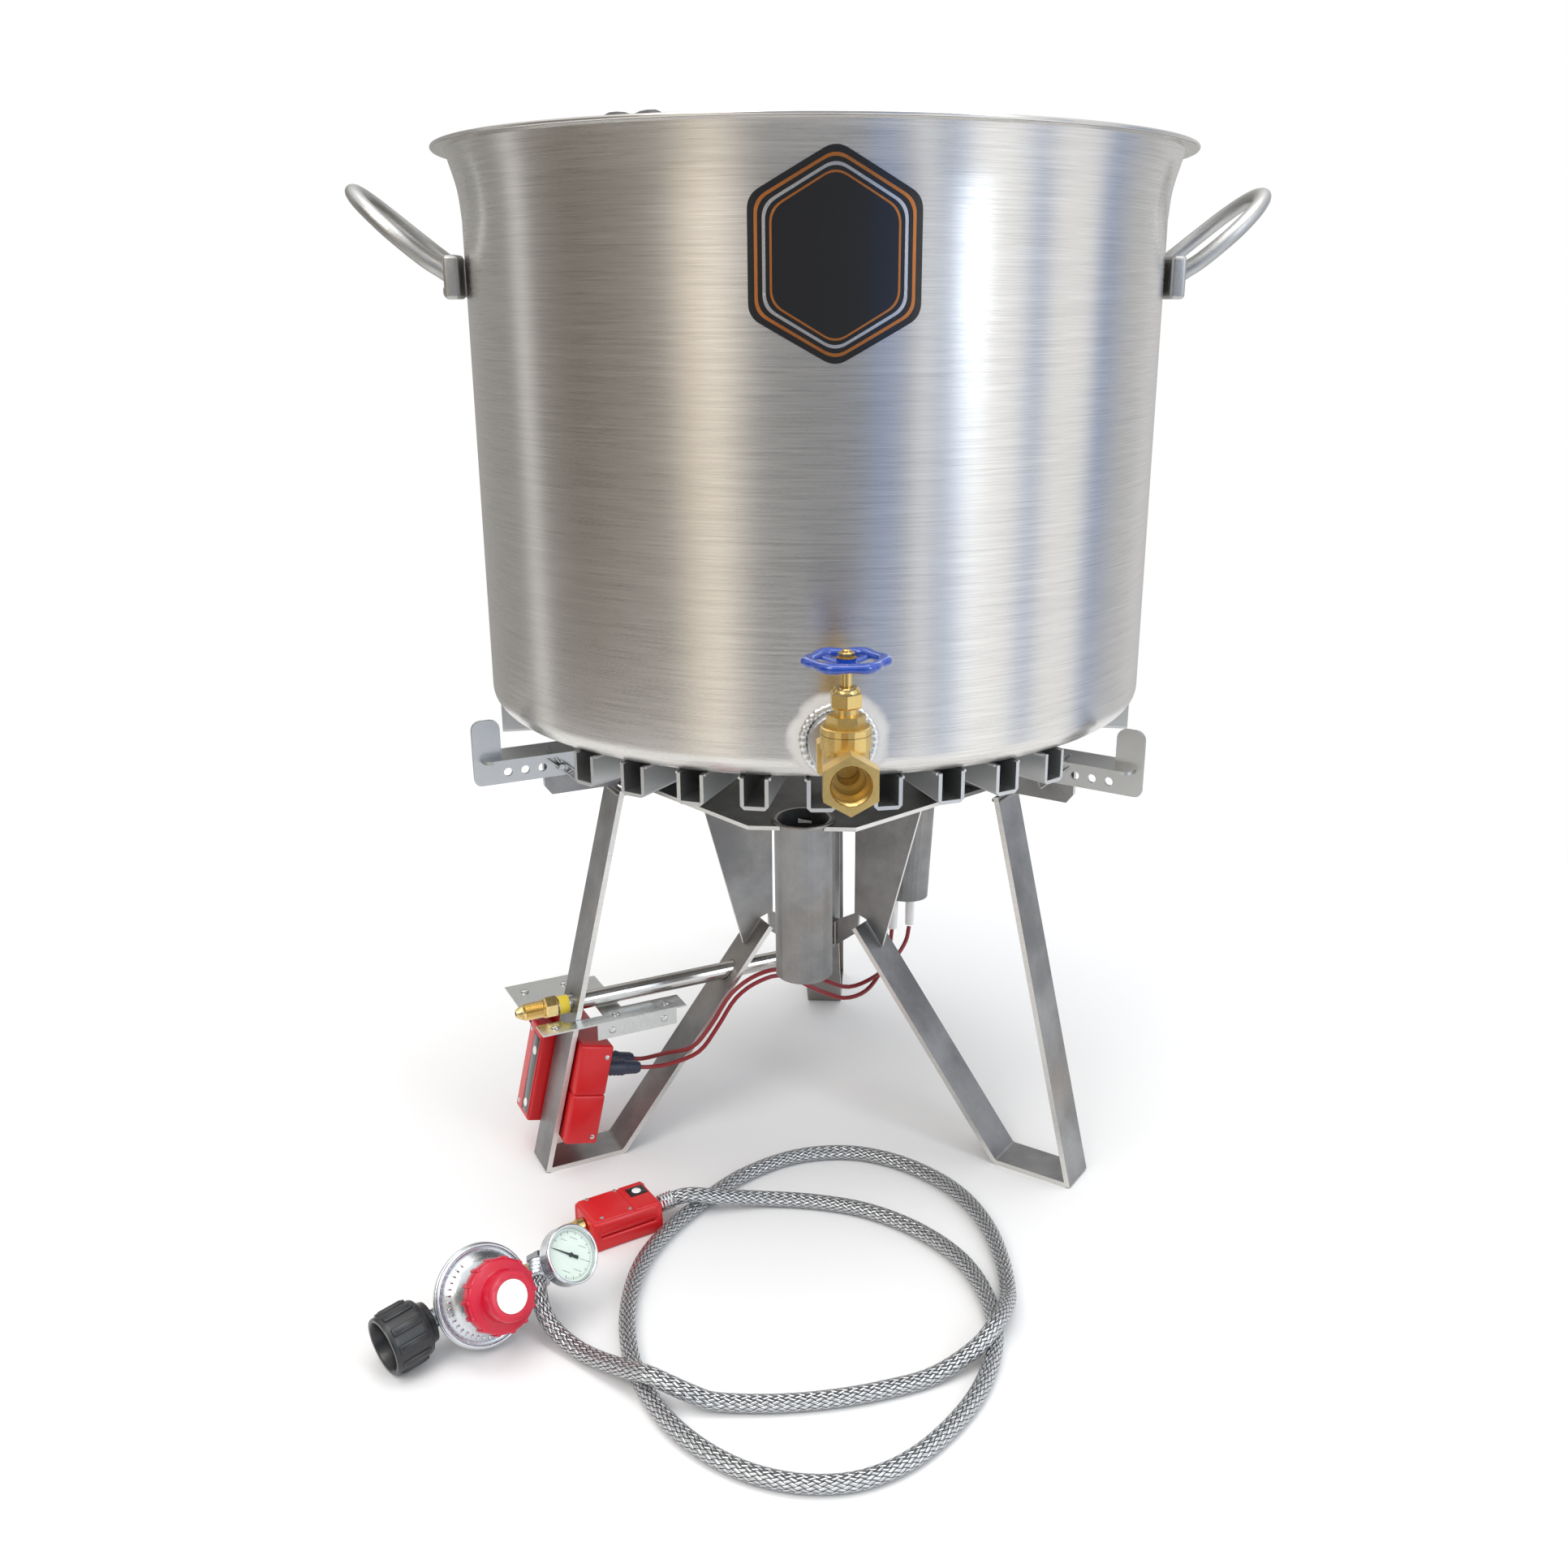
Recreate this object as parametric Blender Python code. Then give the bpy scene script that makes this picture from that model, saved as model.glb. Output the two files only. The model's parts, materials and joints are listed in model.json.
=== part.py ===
"""Brew kettle: an aluminium pot with a drain valve and a lift-out basket, on a three-legged gas burner
stand with its igniter, and the gas regulator, gauge, hose and valve box that lie on the floor before it.

Metres, +Z up. Heights below are over the ground; the root empty drops everything so that the origin is
the middle of the kettle's inside floor. The kettle's front, with the drain, faces -Y.
"""

from math import cos, hypot, pi, radians, sin

import bmesh
import bpy
from mathutils import Matrix, Vector

GAP = 0.0004

# Kettle
BOTTOM = 0.425
FLOOR = 0.429
RIM = 0.881
WALL = 0.0032
RADIUS = 0.2905
RIM_RADIUS = 0.312
KETTLE_TURN = radians(3.5)
TUNNEL_OUTER, TUNNEL_INNER = 0.285, 0.150
TUNNEL_WIDTH, TUNNEL_HEIGHT, TUNNEL_WALL = 0.022, 0.025, 0.003
TUNNELS_IN_GROUP, TUNNEL_PITCH = 9, radians(10.2)

# Drain valve: its flow axis runs outwards, its stem stands upright
DRAIN_HEIGHT = 0.457
STEM_REACH = 0.352
SEAT_RADIUS = 0.008
STEM_RADIUS = 0.004
WHEEL_RADIUS = 0.0315

# Basket
BASKET_RADIUS, BASKET_BOTTOM, BASKET_TOP = 0.272, 0.452, 0.866
BAIL_RADIUS, BAIL_HEIGHT, BAIL_WIRE = 0.279, 0.8785, 0.003
BAIL_AZIMUTH = radians(-30)

# Stand
LEG_AZIMUTHS = {"left": radians(207), "right": radians(327), "rear": radians(87)}
NEAR_SIDE = {"left": 1, "right": -1, "rear": -1}
BAR_WIDTH, BAR_THICK = 0.038, 0.0048
LEG_TOP = (0.198, 0.3572)
FOOT_OUT, FOOT_IN = 0.282, 0.211
LEG_END = (0.056, 0.201)
PLATE_TOP, PLATE_THICK = 0.358, 0.0035
PLATE_FRONT, PLATE_HALF_EDGE = 0.201, 0.044
ARM_THICK, ARM_END, ARM_STEP, ARM_SHELF = 0.005, 0.262, 0.224, 0.396
PIN_REACH, PIN_HEIGHT, HOLE_PITCH = 0.249, 0.385, 0.015
PIPE_RADIUS, PIPE_WALL = 0.02415, 0.0026
PIPE_LEAN = radians(3.5)

# Gas
GAS_HEIGHT, GAS_RADIUS = 0.157, 0.008
HOSE_RADIUS = 0.0066
HOSE_STEP = 0.022

root = None


def clear_scene():
    for obj in list(bpy.data.objects):
        bpy.data.objects.remove(obj)


def finish(name, colour, metallic, roughness):
    made = bpy.data.materials.new(name)
    made.use_nodes = True
    shader = made.node_tree.nodes["Principled BSDF"]
    shader.inputs["Base Color"].default_value = (*colour, 1)
    shader.inputs["Metallic"].default_value = metallic
    shader.inputs["Roughness"].default_value = roughness
    return made


def empty(name, parent, location=(0, 0, 0), turn=0.0, matrix=None):
    made = bpy.data.objects.new(name, None)
    bpy.context.collection.objects.link(made)
    made.parent = parent
    made.matrix_local = matrix or Matrix.Translation(location) @ Matrix.Rotation(turn, 4, "Z")
    return made


def along(origin, direction, up=(0, 0, 1)):
    """The matrix whose +Z runs along direction and whose +X is as near to up as it can be."""
    axis = Vector(direction).normalized()
    if abs(axis.dot(Vector(up))) > 0.999:
        up = (0, 1, 0)
    side = axis.cross(Vector(up)).normalized()
    top = side.cross(axis)
    turn = Matrix((top, side, axis)).transposed()
    if turn.determinant() < 0:
        turn = Matrix((top, -side, axis)).transposed()
    return Matrix.Translation(origin) @ turn.to_4x4()


def add(name, verts, faces, look, parent, matrix=None):
    mesh = bpy.data.meshes.new(name)
    mesh.from_pydata([tuple(v) for v in verts], [], faces)
    work = bmesh.new()
    work.from_mesh(mesh)
    bmesh.ops.recalc_face_normals(work, faces=work.faces)
    work.to_mesh(mesh)
    work.free()
    mesh.materials.append(look)
    mesh.shade_smooth()
    mesh.set_sharp_from_angle(angle=radians(35))
    obj = bpy.data.objects.new(name, mesh)
    bpy.context.collection.objects.link(obj)
    obj.parent = parent
    if matrix is not None:
        obj.matrix_local = matrix
    return obj


def turned(name, outline, look, parent, matrix=None, sides=24, ring=False):
    """A body of revolution about +Z from (radius, height) points; ring closes the outline on itself."""
    verts, rows = [], []
    for radius, height in outline:
        first = len(verts)
        if radius == 0:
            verts.append((0, 0, height))
            rows.append([first] * sides)
            continue
        for side in range(sides):
            angle = 2 * pi * side / sides
            verts.append((radius * cos(angle), radius * sin(angle), height))
        rows.append(list(range(first, first + sides)))
    if ring:
        rows.append(rows[0])
    faces = []
    for lower, upper in zip(rows, rows[1:]):
        for side in range(sides):
            after = (side + 1) % sides
            corners = [lower[side], lower[after], upper[after], upper[side]]
            faces.append(list(dict.fromkeys(corners)))
    return add(name, verts, faces, look, parent, matrix)


def prism(name, outline, low, high, look, parent, matrix=None):
    """A flat outline of (x, y) points drawn out along +Z from low to high."""
    count = len(outline)
    verts = [(x, y, low) for x, y in outline] + [(x, y, high) for x, y in outline]
    faces = [list(range(count)), list(range(count, 2 * count))]
    for i in range(count):
        j = (i + 1) % count
        faces.append([i, j, count + j, count + i])
    return add(name, verts, faces, look, parent, matrix)


def box(name, low, high, look, parent, matrix=None):
    outline = [(low[0], low[1]), (high[0], low[1]), (high[0], high[1]), (low[0], high[1])]
    return prism(name, outline, low[2], high[2], look, parent, matrix)


UPRIGHT = Matrix(((1, 0, 0, 0), (0, 0, -1, 0), (0, 1, 0, 0), (0, 0, 0, 1)))
"""Stands an (x, y) outline up in the X-Z plane; its thickness then runs along -Y."""


def upright(name, outline, thickness, look, parent, shift=0.0):
    """An outline of (reach, height) points as an upright plate whose middle plane is at Y = shift."""
    return prism(name, outline, -thickness / 2 - shift, thickness / 2 - shift, look, parent, UPRIGHT)


def rounded(low, high, radius, steps=4, corners=(True, True, True, True)):
    """A rectangle with arcs at the chosen corners: low-low, high-low, high-high, low-high."""
    points = []
    centres = [(low[0], low[1], pi), (high[0], low[1], 1.5 * pi), (high[0], high[1], 0), (low[0], high[1], 0.5 * pi)]
    for (x, y, start), soft in zip(centres, corners):
        if not soft:
            points.append((x, y))
            continue
        inner_x = x + radius if x == low[0] else x - radius
        inner_y = y + radius if y == low[1] else y - radius
        for step in range(steps + 1):
            angle = start + 0.5 * pi * step / steps
            points.append((inner_x + radius * cos(angle), inner_y + radius * sin(angle)))
    return points


def polygon(across_corners, sides=6, turn=0.0):
    radius = across_corners / 2
    return [(radius * cos(turn + 2 * pi * i / sides), radius * sin(turn + 2 * pi * i / sides)) for i in range(sides)]


def strip(path, thickness):
    """The outline of a strip of this thickness whose middle follows the path, mitred at its bends."""
    normals = []
    for a, b in zip(path, path[1:]):
        length = hypot(b[0] - a[0], b[1] - a[1])
        normals.append(((b[1] - a[1]) / length, -(b[0] - a[0]) / length))
    left, right = [], []
    for i, (x, y) in enumerate(path):
        before = normals[max(i - 1, 0)]
        after = normals[min(i, len(normals) - 1)]
        blend = (before[0] + after[0], before[1] + after[1])
        scale = thickness / (blend[0] ** 2 + blend[1] ** 2)
        left.append((x + blend[0] * scale, y + blend[1] * scale))
        right.append((x - blend[0] * scale, y - blend[1] * scale))
    return left + right[::-1]


def smooth(points, per_span):
    """A Catmull-Rom curve through the points, with per_span steps in each span."""
    points = [Vector(p) for p in points]
    ends = [2 * points[0] - points[1], *points, 2 * points[-1] - points[-2]]
    made = []
    for a, b, c, d in zip(ends, ends[1:], ends[2:], ends[3:]):
        for step in range(per_span):
            t = step / per_span
            made.append(0.5 * (2 * b + (c - a) * t + (2 * a - 5 * b + 4 * c - d) * t**2 + (3 * b - a - 3 * c + d) * t**3))
    made.append(points[-1])
    return made


def wire(name, points, radius, look, parent, resolution=2):
    """A round wire, lead or hose: a curve object with filled caps on a poly spline."""
    curve = bpy.data.curves.new(name, "CURVE")
    curve.dimensions = "3D"
    curve.bevel_depth = radius
    curve.bevel_resolution = resolution
    curve.use_fill_caps = True
    spline = curve.splines.new("POLY")
    spline.points.add(len(points) - 1)
    for knot, place in zip(spline.points, points):
        knot.co = (*place, 1)
    curve.materials.append(look)
    obj = bpy.data.objects.new(name, curve)
    bpy.context.collection.objects.link(obj)
    obj.parent = parent
    return obj


def rod(name, points, radius, look, parent, sides=12, flat=1.0):
    """A bar of round or flattened section along a path, as a mesh, so that it can be cut and joined."""
    points = [Vector(p) for p in points]
    verts, faces = [], []
    side = Vector((0, 0, 1))
    for i, place in enumerate(points):
        run = (points[min(i + 1, len(points) - 1)] - points[max(i - 1, 0)]).normalized()
        side = (side - run * side.dot(run)).normalized()
        other = run.cross(side)
        for k in range(sides):
            angle = 2 * pi * k / sides
            verts.append(place + side * (radius * flat * cos(angle)) + other * (radius * sin(angle)))
    for i in range(len(points) - 1):
        for k in range(sides):
            after = (k + 1) % sides
            row = i * sides
            faces.append([row + k, row + after, row + sides + after, row + sides + k])
    faces.append(list(range(sides)))
    faces.append(list(range(len(verts) - sides, len(verts))))
    return add(name, verts, faces, look, parent)


def helper(obj):
    obj.hide_render = True
    obj.display_type = "WIRE"
    obj.name = "helper_" + obj.name
    return obj


def combine(target, operation, *tools):
    for tool in tools:
        helper(tool)
        step = target.modifiers.new(tool.name, "BOOLEAN")
        step.operation = operation
        step.solver = "EXACT"
        step.object = tool
    return target


def cut(target, *tools):
    return combine(target, "DIFFERENCE", *tools)


def join(target, *tools):
    return combine(target, "UNION", *tools)


def drill(place, direction, radius, length, parent, sides=16):
    """A cutter: a cylinder centred on place, along direction."""
    outline = [(0, -length / 2), (radius, -length / 2), (radius, length / 2), (0, length / 2)]
    return turned("bore", outline, looks["steel"], parent, along(place, direction), sides)


# ---------------------------------------------------------------------------------------------- kettle


def arc(centre, radius, start, end, steps):
    """Points on an arc, angles in degrees, from start to end."""
    turns = [radians(start + (end - start) * i / steps) for i in range(steps + 1)]
    return [(centre[0] + radius * cos(t), centre[1] + radius * sin(t)) for t in turns]


def kettle_shell(parent):
    inner = RADIUS - WALL
    outline = [(0, BOTTOM)]
    outline += arc((RADIUS - 0.018, BOTTOM + 0.018), 0.018, -90, 0, 4)
    outline += [(RADIUS, 0.826), (RADIUS + 0.0022, 0.848), (RADIUS + 0.0075, 0.868), (RADIUS + 0.0095, 0.8775)]
    outline += [(RIM_RADIUS - 0.001, 0.8778), (RIM_RADIUS, 0.8794), (RIM_RADIUS - 0.001, RIM)]
    outline += [(RADIUS + 0.0085, RIM), (RADIUS + 0.0045, 0.8695), (RADIUS - 0.0010, 0.848), (inner, 0.826)]
    outline += arc((inner - 0.014, FLOOR + 0.014), 0.014, 0, -90, 4)
    outline += [(0, FLOOR)]
    shell = turned("kettle_shell", outline, looks["aluminium"], parent, sides=72)
    return cut(shell, drill((0, -RADIUS, DRAIN_HEIGHT), (0, -1, 0), 0.0138, 0.03, parent))


def tunnel_group(name, azimuth, parent):
    """Nine channels that lie radially under the bottom; a thin sheet stands for the welds that join them."""
    half, wall, low = TUNNEL_WIDTH / 2, TUNNEL_WALL, BOTTOM - GAP - TUNNEL_HEIGHT
    high = BOTTOM - GAP
    sheet_low = high - 0.0008
    spread = TUNNEL_PITCH * (TUNNELS_IN_GROUP - 1) / 2
    edge = spread + radians(3.5)
    near = [(0.20 * cos(a), 0.20 * sin(a)) for a in [azimuth + edge * (1 - i / 12) for i in range(25)]]
    far = [(0.21 * cos(a), 0.21 * sin(a)) for a in [azimuth - edge * (1 - i / 12) for i in range(25)]]
    group = prism(name, near + far, sheet_low, high, looks["aluminium_raw"], parent)
    channel = [(-half, high), (-half, low + 0.003), (-half + 0.003, low), (half - 0.003, low), (half, low + 0.003)]
    channel += [(half, high), (half - wall, high), (half - wall, low + wall), (-half + wall, low + wall)]
    channel += [(-half + wall, high)]
    count = len(channel)
    verts, faces = [], []
    for i in range(TUNNELS_IN_GROUP):
        turn = azimuth - spread + TUNNEL_PITCH * i
        first = len(verts)
        for reach in (TUNNEL_INNER, TUNNEL_OUTER):
            for side, height in channel:
                verts.append((reach * cos(turn) - side * sin(turn), reach * sin(turn) + side * cos(turn), height))
        faces.append([first + k for k in range(count)])
        faces.append([first + count + k for k in range(count)])
        for k in range(count):
            after = (k + 1) % count
            faces.append([first + k, first + after, first + count + after, first + count + k])
    channels = add(name + "_channels", verts, faces, looks["aluminium_raw"], parent)
    return join(group, channels)


def handle(name, side, parent):
    """A cast loop that rises outwards from a riveted pad; side is +1 or -1 along X."""
    face = RADIUS + GAP
    half = 0.052
    path = [(face + 0.006, -half, 0.783), (0.318, -half - 0.002, 0.797), (0.343, -half, 0.817), (0.366, -0.038, 0.838)]
    path += [(0.377, -0.020, 0.847)]
    path += [(0.379, 0, 0.849)] + [(x, -y, z) for x, y, z in path[::-1]]
    loop = rod(name, [(side * x, y, z) for x, y, z in smooth(path, 3)], 0.0088, looks["cast"], parent, 10, 0.75)
    pads = []
    for end in (-1, 1):
        back = 0.2909
        outline = [(back - 0.0045, end * half - 0.017), (back + 0.012, end * half - 0.017)]
        outline += [(back + 0.012, end * half + 0.017), (back - 0.0045, end * half + 0.017)]
        pads.append(prism(name + "_pad", [(side * x, y) for x, y in outline], 0.765, 0.800, looks["cast"], parent))
    joined = join(loop, *pads)
    hollow = [(0, 0.75), (RADIUS + GAP, 0.75), (RADIUS + GAP, 0.82), (0, 0.82)]
    return cut(joined, turned("pad_seat", hollow, looks["cast"], parent, sides=144))


# ---------------------------------------------------------------------------------------------- drain


def outward(reach, turn=0.0):
    """Places a turned piece on the drain's axis, with +Z running out of the kettle."""
    return Matrix.Translation((0, -reach, 0)) @ Matrix.Rotation(pi / 2, 4, "X") @ Matrix.Rotation(turn, 4, "Z")


def drain_parts(kettle):
    axis = empty("drain_axis", kettle, (0, 0, DRAIN_HEIGHT))
    stem_axis = empty("stem_axis", axis, (0, -STEM_REACH, 0))
    ring = [(0.0136, 0.2913), (0.0235, 0.2913), (0.0235, 0.3005), (0.0225, 0.3018), (0.0136, 0.3018)]
    turned("drain_bung", ring, looks["aluminium_raw"], axis, outward(0), 32, True)
    pipe = [(0.0100, 0.286), (0.0132, 0.286), (0.0132, 0.323), (0.0100, 0.323)]
    turned("valve_nipple", pipe, looks["brass"], axis, outward(0), 24, True)
    valve_body(stem_axis)
    top_parts(stem_axis)
    return axis


def valve_body(axis):
    brass = looks["brass"]
    body = prism("valve_body", polygon(0.0432, 6, pi / 2), 0.034, 0.048, brass, axis, outward(0))
    inlet = prism("inlet_hex", polygon(0.0432, 6, pi / 2), -0.048, -0.034, brass, axis, outward(0))
    inlet.matrix_local = outward(0.008) @ Matrix.Translation((0, 0, 0.009))
    barrel = turned("barrel", [(0, -0.038), (0.0165, -0.038), (0.0165, 0.04), (0, 0.04)], brass, axis, outward(0), 24)
    chest = [(0, -0.018), (0.011, -0.018), (0.0165, -0.012), (0.0165, 0.012), (0.018, 0.0135), (0.018, 0.0236), (0, 0.0236)]
    tower = turned("chest", chest, brass, axis, sides=24)
    join(body, inlet, barrel, tower)
    mouth = drill((0, -0.0402, 0), (0, -1, 0), 0.0145, 0.0164, axis, 24)
    step = drill((0, -0.027, 0), (0, -1, 0), 0.0115, 0.012, axis, 24)
    seat = drill((0, 0, 0), (0, -1, 0), SEAT_RADIUS, 0.09, axis, 20)
    socket = drill((0, 0.036, 0), (0, 1, 0), 0.0136, 0.0162, axis, 24)
    slot = box("wedge_slot", (-0.0105, -0.0062, -0.0106), (0.0105, 0.0062, 0.03), brass, axis)
    return cut(body, mouth, step, seat, socket, slot)


def top_parts(axis):
    """Bonnet, packing nut, stem and wheel on the upright axis, and the wedge that the stem lifts."""
    brass = looks["brass"]
    bonnet = prism("valve_bonnet", polygon(0.0275), 0.0288, 0.037, brass, axis)
    flange = turned("flange", [(0, 0.024), (0.018, 0.024), (0.018, 0.0285), (0.0165, 0.029), (0, 0.029)], brass, axis)
    neck = turned("neck", [(0, 0.036), (0.0088, 0.036), (0.0088, 0.0418), (0, 0.0418)], brass, axis)
    join(bonnet, flange, neck)
    room = box("wedge_room", (-0.0105, -0.0062, 0.02), (0.0105, 0.0062, 0.0287), brass, axis)
    cut(bonnet, room, drill((0, 0, 0.035), (0, 0, 1), STEM_RADIUS + GAP, 0.03, axis))
    nut = prism("packing_nut", polygon(0.0240, 6, pi / 6), 0.0422, 0.0535, brass, axis)
    join(nut, turned("nut_top", [(0, 0.053), (0.0095, 0.053), (0.0075, 0.0568), (0, 0.0568)], brass, axis))
    cut(nut, drill((0, 0, 0.05), (0, 0, 1), STEM_RADIUS + GAP, 0.03, axis))
    stem = [(0, 0.0065), (0.0028, 0.0065), (0.0028, 0.030), (STEM_RADIUS, 0.030), (STEM_RADIUS, 0.0680)]
    stem += [(0.0030, 0.0680), (0.0030, 0.0830), (0, 0.0830)]
    turned("valve_stem", stem, brass, axis, sides=16)
    hand_wheel(axis)
    wedge = turned("gate_wedge", [(0, -0.0056), (0.0098, -0.0056), (0.0098, 0.0056), (0, 0.0056)], brass, axis, outward(0), 24)
    cut(wedge, drill((0, 0, 0), (0, 0, 1), 0.0032, 0.04, axis))


def hand_wheel(axis):
    """A cast wheel: a scalloped rim on coned spokes that rise to it from the hub."""
    lobes, steps = 6, 48
    section = [(-0.0042, 0.0715), (0.0030, 0.0712), (0.0042, 0.0745), (0.0030, 0.0782), (-0.0042, 0.0778)]
    verts, faces = [], []
    for i in range(steps):
        angle = 2 * pi * i / steps
        swell = 0.0020 * cos(lobes * angle)
        for reach, height in section:
            radius = WHEEL_RADIUS - 0.0062 + reach + (swell if reach > 0 else 0)
            verts.append((radius * cos(angle), radius * sin(angle), height))
    count = len(section)
    for i in range(steps):
        here, there = i * count, ((i + 1) % steps) * count
        for k in range(count):
            after = (k + 1) % count
            faces.append([here + k, here + after, there + after, there + k])
    wheel = add("hand_wheel", verts, faces, looks["blue"], axis)
    hub = turned("hub", [(0, 0.0684), (0.0075, 0.0684), (0.0065, 0.0772), (0, 0.0772)], looks["blue"], axis, sides=20)
    spokes = []
    for i in range(4):
        angle = 2 * pi * (i + 0.5) / 4
        ends = [(0.004 * cos(angle), 0.004 * sin(angle), 0.0722), (0.021 * cos(angle), 0.021 * sin(angle), 0.0748)]
        spokes.append(rod("spoke", ends, 0.0031, looks["blue"], axis, 8, 0.7))
    join(wheel, hub, *spokes)
    return cut(wheel, drill((0, 0, 0.072), (0, 0, 1), 0.0030 + GAP, 0.03, axis))


# ---------------------------------------------------------------------------------------------- basket


def basket_parts(kettle):
    steel = looks["basket"]
    inner = BASKET_RADIUS - 0.002
    shell = [(0, BASKET_BOTTOM), (BASKET_RADIUS - 0.01, BASKET_BOTTOM), (BASKET_RADIUS, BASKET_BOTTOM + 0.01)]
    shell += [(BASKET_RADIUS, BASKET_TOP), (inner, BASKET_TOP), (inner, BASKET_BOTTOM + 0.0108)]
    shell += [(inner - 0.0088, BASKET_BOTTOM + 0.002), (0, BASKET_BOTTOM + 0.002)]
    basket = turned("basket", shell, steel, kettle, sides=64)
    bail_axis = empty("bail_axis", kettle, (0, 0, BAIL_HEIGHT), BAIL_AZIMUTH)
    ears = []
    for turn in (0, pi):
        spread = [radians(6.8) * (1 - i / 4) for i in range(9)]
        outer = [(0.2750 * cos(turn + a), 0.2750 * sin(turn + a)) for a in spread]
        inside = [(0.2704 * cos(turn + a), 0.2704 * sin(turn + a)) for a in spread[::-1]]
        ears.append(prism("ear", outer + inside, -0.021, 0.0095, steel, bail_axis))
    join(basket, *ears)
    cut(basket, drill((0, 0, 0), (1, 0, 0), BAIL_WIRE + 0.0003, 0.6, bail_axis))
    straight = radians(9.5)
    steps = 14
    path = []
    for i in range(steps + 1):
        angle = -(pi / 2 - straight) * i / steps
        path.append((BAIL_RADIUS * cos(angle), BAIL_RADIUS * sin(angle), 0))
    path += [(-x, y, z) for x, y, z in path[::-1]]
    bail = rod("basket_bail", path, BAIL_WIRE, steel, bail_axis, 8)
    join(bail, *[drill((side * 0.2750, 0, 0), (1, 0, 0), BAIL_WIRE - 0.0003, 0.0125, bail_axis, 10) for side in (-1, 1)])
    chord = BAIL_RADIUS * cos(straight)
    grip = [(BAIL_WIRE + GAP, -0.0225), (0.0062, -0.0225), (0.0085, -0.0180), (0.0085, -0.0050), (0.0070, 0.0)]
    grip += [(0.0085, 0.0050), (0.0085, 0.0180), (0.0062, 0.0225), (BAIL_WIRE + GAP, 0.0225)]
    turned("bail_grip", grip, looks["black"], bail_axis, along((0, -chord, 0), (1, 0, 0)), 16, True)


# ---------------------------------------------------------------------------------------------- stand


def leg(name, side, parent):
    """Flat bar bent into a loop: down from the arm, along the ground, and back up to the middle."""
    half = BAR_THICK / 2
    path = [LEG_TOP, (FOOT_OUT + 0.002, 0.0035), (FOOT_OUT - 0.0015, half), (FOOT_IN + 0.002, half)]
    path += [(FOOT_IN - 0.001, 0.0038), LEG_END]
    made = upright(name, strip(path, BAR_THICK), BAR_WIDTH, looks["mill"], parent)
    slot = LEG_END[0] + 0.006
    notch = [(slot - 0.03, LEG_END[1] + 0.02), (0.073, 0.179), (slot - 0.01, LEG_END[1] - 0.03)]
    tools = []
    if side == "left":
        tools.append(drill((0.245, 0, GAS_HEIGHT), (1, 0, 0), GAS_RADIUS + 0.0006, 0.03, parent, 20))
        tools.append(drill((0.090, 0, GAS_HEIGHT), (1, 0, 0), GAS_RADIUS + 0.0006, 0.03, parent, 20))
    tools.append(upright("notch", notch, 0.0042, looks["mill"], parent))
    return cut(made, *tools)


def gusset(name, parent):
    """An upright plate from the burner plate down to the leg's end, with a foot that holds the jet tube."""
    low = PLATE_TOP - PLATE_THICK - GAP
    outline = [(0.046, low), (0.046, 0.208), (0.0250, 0.196), (0.0250, 0.170), (0.0500, 0.190)]
    outline += [(0.0500, 0.2080), (0.0592, 0.2050), (0.0768, 0.1810), (0.123, low)]
    return upright(name, outline, 0.003, looks["mill"], parent)


def arm(name, parent):
    """A radial plate under the pot. The retainer's pin crosses a slot in its outer end."""
    low, high = PLATE_TOP + GAP, BOTTOM - GAP
    outline = [(0.112, low), (ARM_END - 0.006, low), (ARM_END, low + 0.008), (ARM_END, ARM_SHELF)]
    outline += [(ARM_STEP, ARM_SHELF), (ARM_STEP - 0.004, high), (0.130, high), (0.112, high - 0.02)]
    made = upright(name, outline, ARM_THICK, looks["mill"], parent)
    slot = rounded((PIN_REACH - 0.0118, PIN_HEIGHT - 0.0037), (PIN_REACH + 0.0037, PIN_HEIGHT + 0.0037), 0.0036, 3)
    return cut(made, upright("pin_slot", slot, 0.02, looks["mill"], parent))


def retainer(name, near, parent):
    """A slotted shelf with a strip of pin holes below it and a tab above it that holds the pot in place."""
    look = looks["zinc"]
    shift = near * (ARM_THICK / 2 + GAP + 0.0015)
    inner, outer = 0.236, 0.323
    strip_plate = rounded((inner, 0.3755), (outer, 0.3985), 0.006, 4, (True, True, False, False))
    made = upright(name, strip_plate, 0.003, look, parent, shift)
    tab = rounded((0.2990, 0.390), (outer, 0.432), 0.008, 4, (False, False, True, True))
    shelf = rounded((inner, -0.018), (0.3165, 0.018), 0.008, 4, (False, True, True, False))
    low = ARM_SHELF + GAP
    join(made, upright("tab", tab, 0.003, look, parent, shift), prism("shelf", shelf, low, low + 0.003, look, parent))
    holes = [drill((PIN_REACH + HOLE_PITCH * i, shift, PIN_HEIGHT), (0, 1, 0), 0.0037, 0.01, parent) for i in range(4)]
    return cut(made, *holes)


def retainer_pin(name, near, parent):
    """A headed pin through the strip and the arm's fork, with a cross hole for its hairpin clip."""
    outline = [(0, -0.0135), (0.0046, -0.0135), (0.0050, -0.0125), (0.0050, -0.0090), (0.0030, -0.0085)]
    outline += [(0.0030, 0.0125), (0.0024, 0.0133), (0, 0.0133)]
    pin = turned(name, outline, looks["zinc"], parent, along((PIN_REACH, 0, PIN_HEIGHT), (0, near, 0)), 16)
    return cut(pin, drill((PIN_REACH, near * 0.0102, PIN_HEIGHT), (0.75, 0, 0.66), 0.0012, 0.02, parent, 8))


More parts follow.
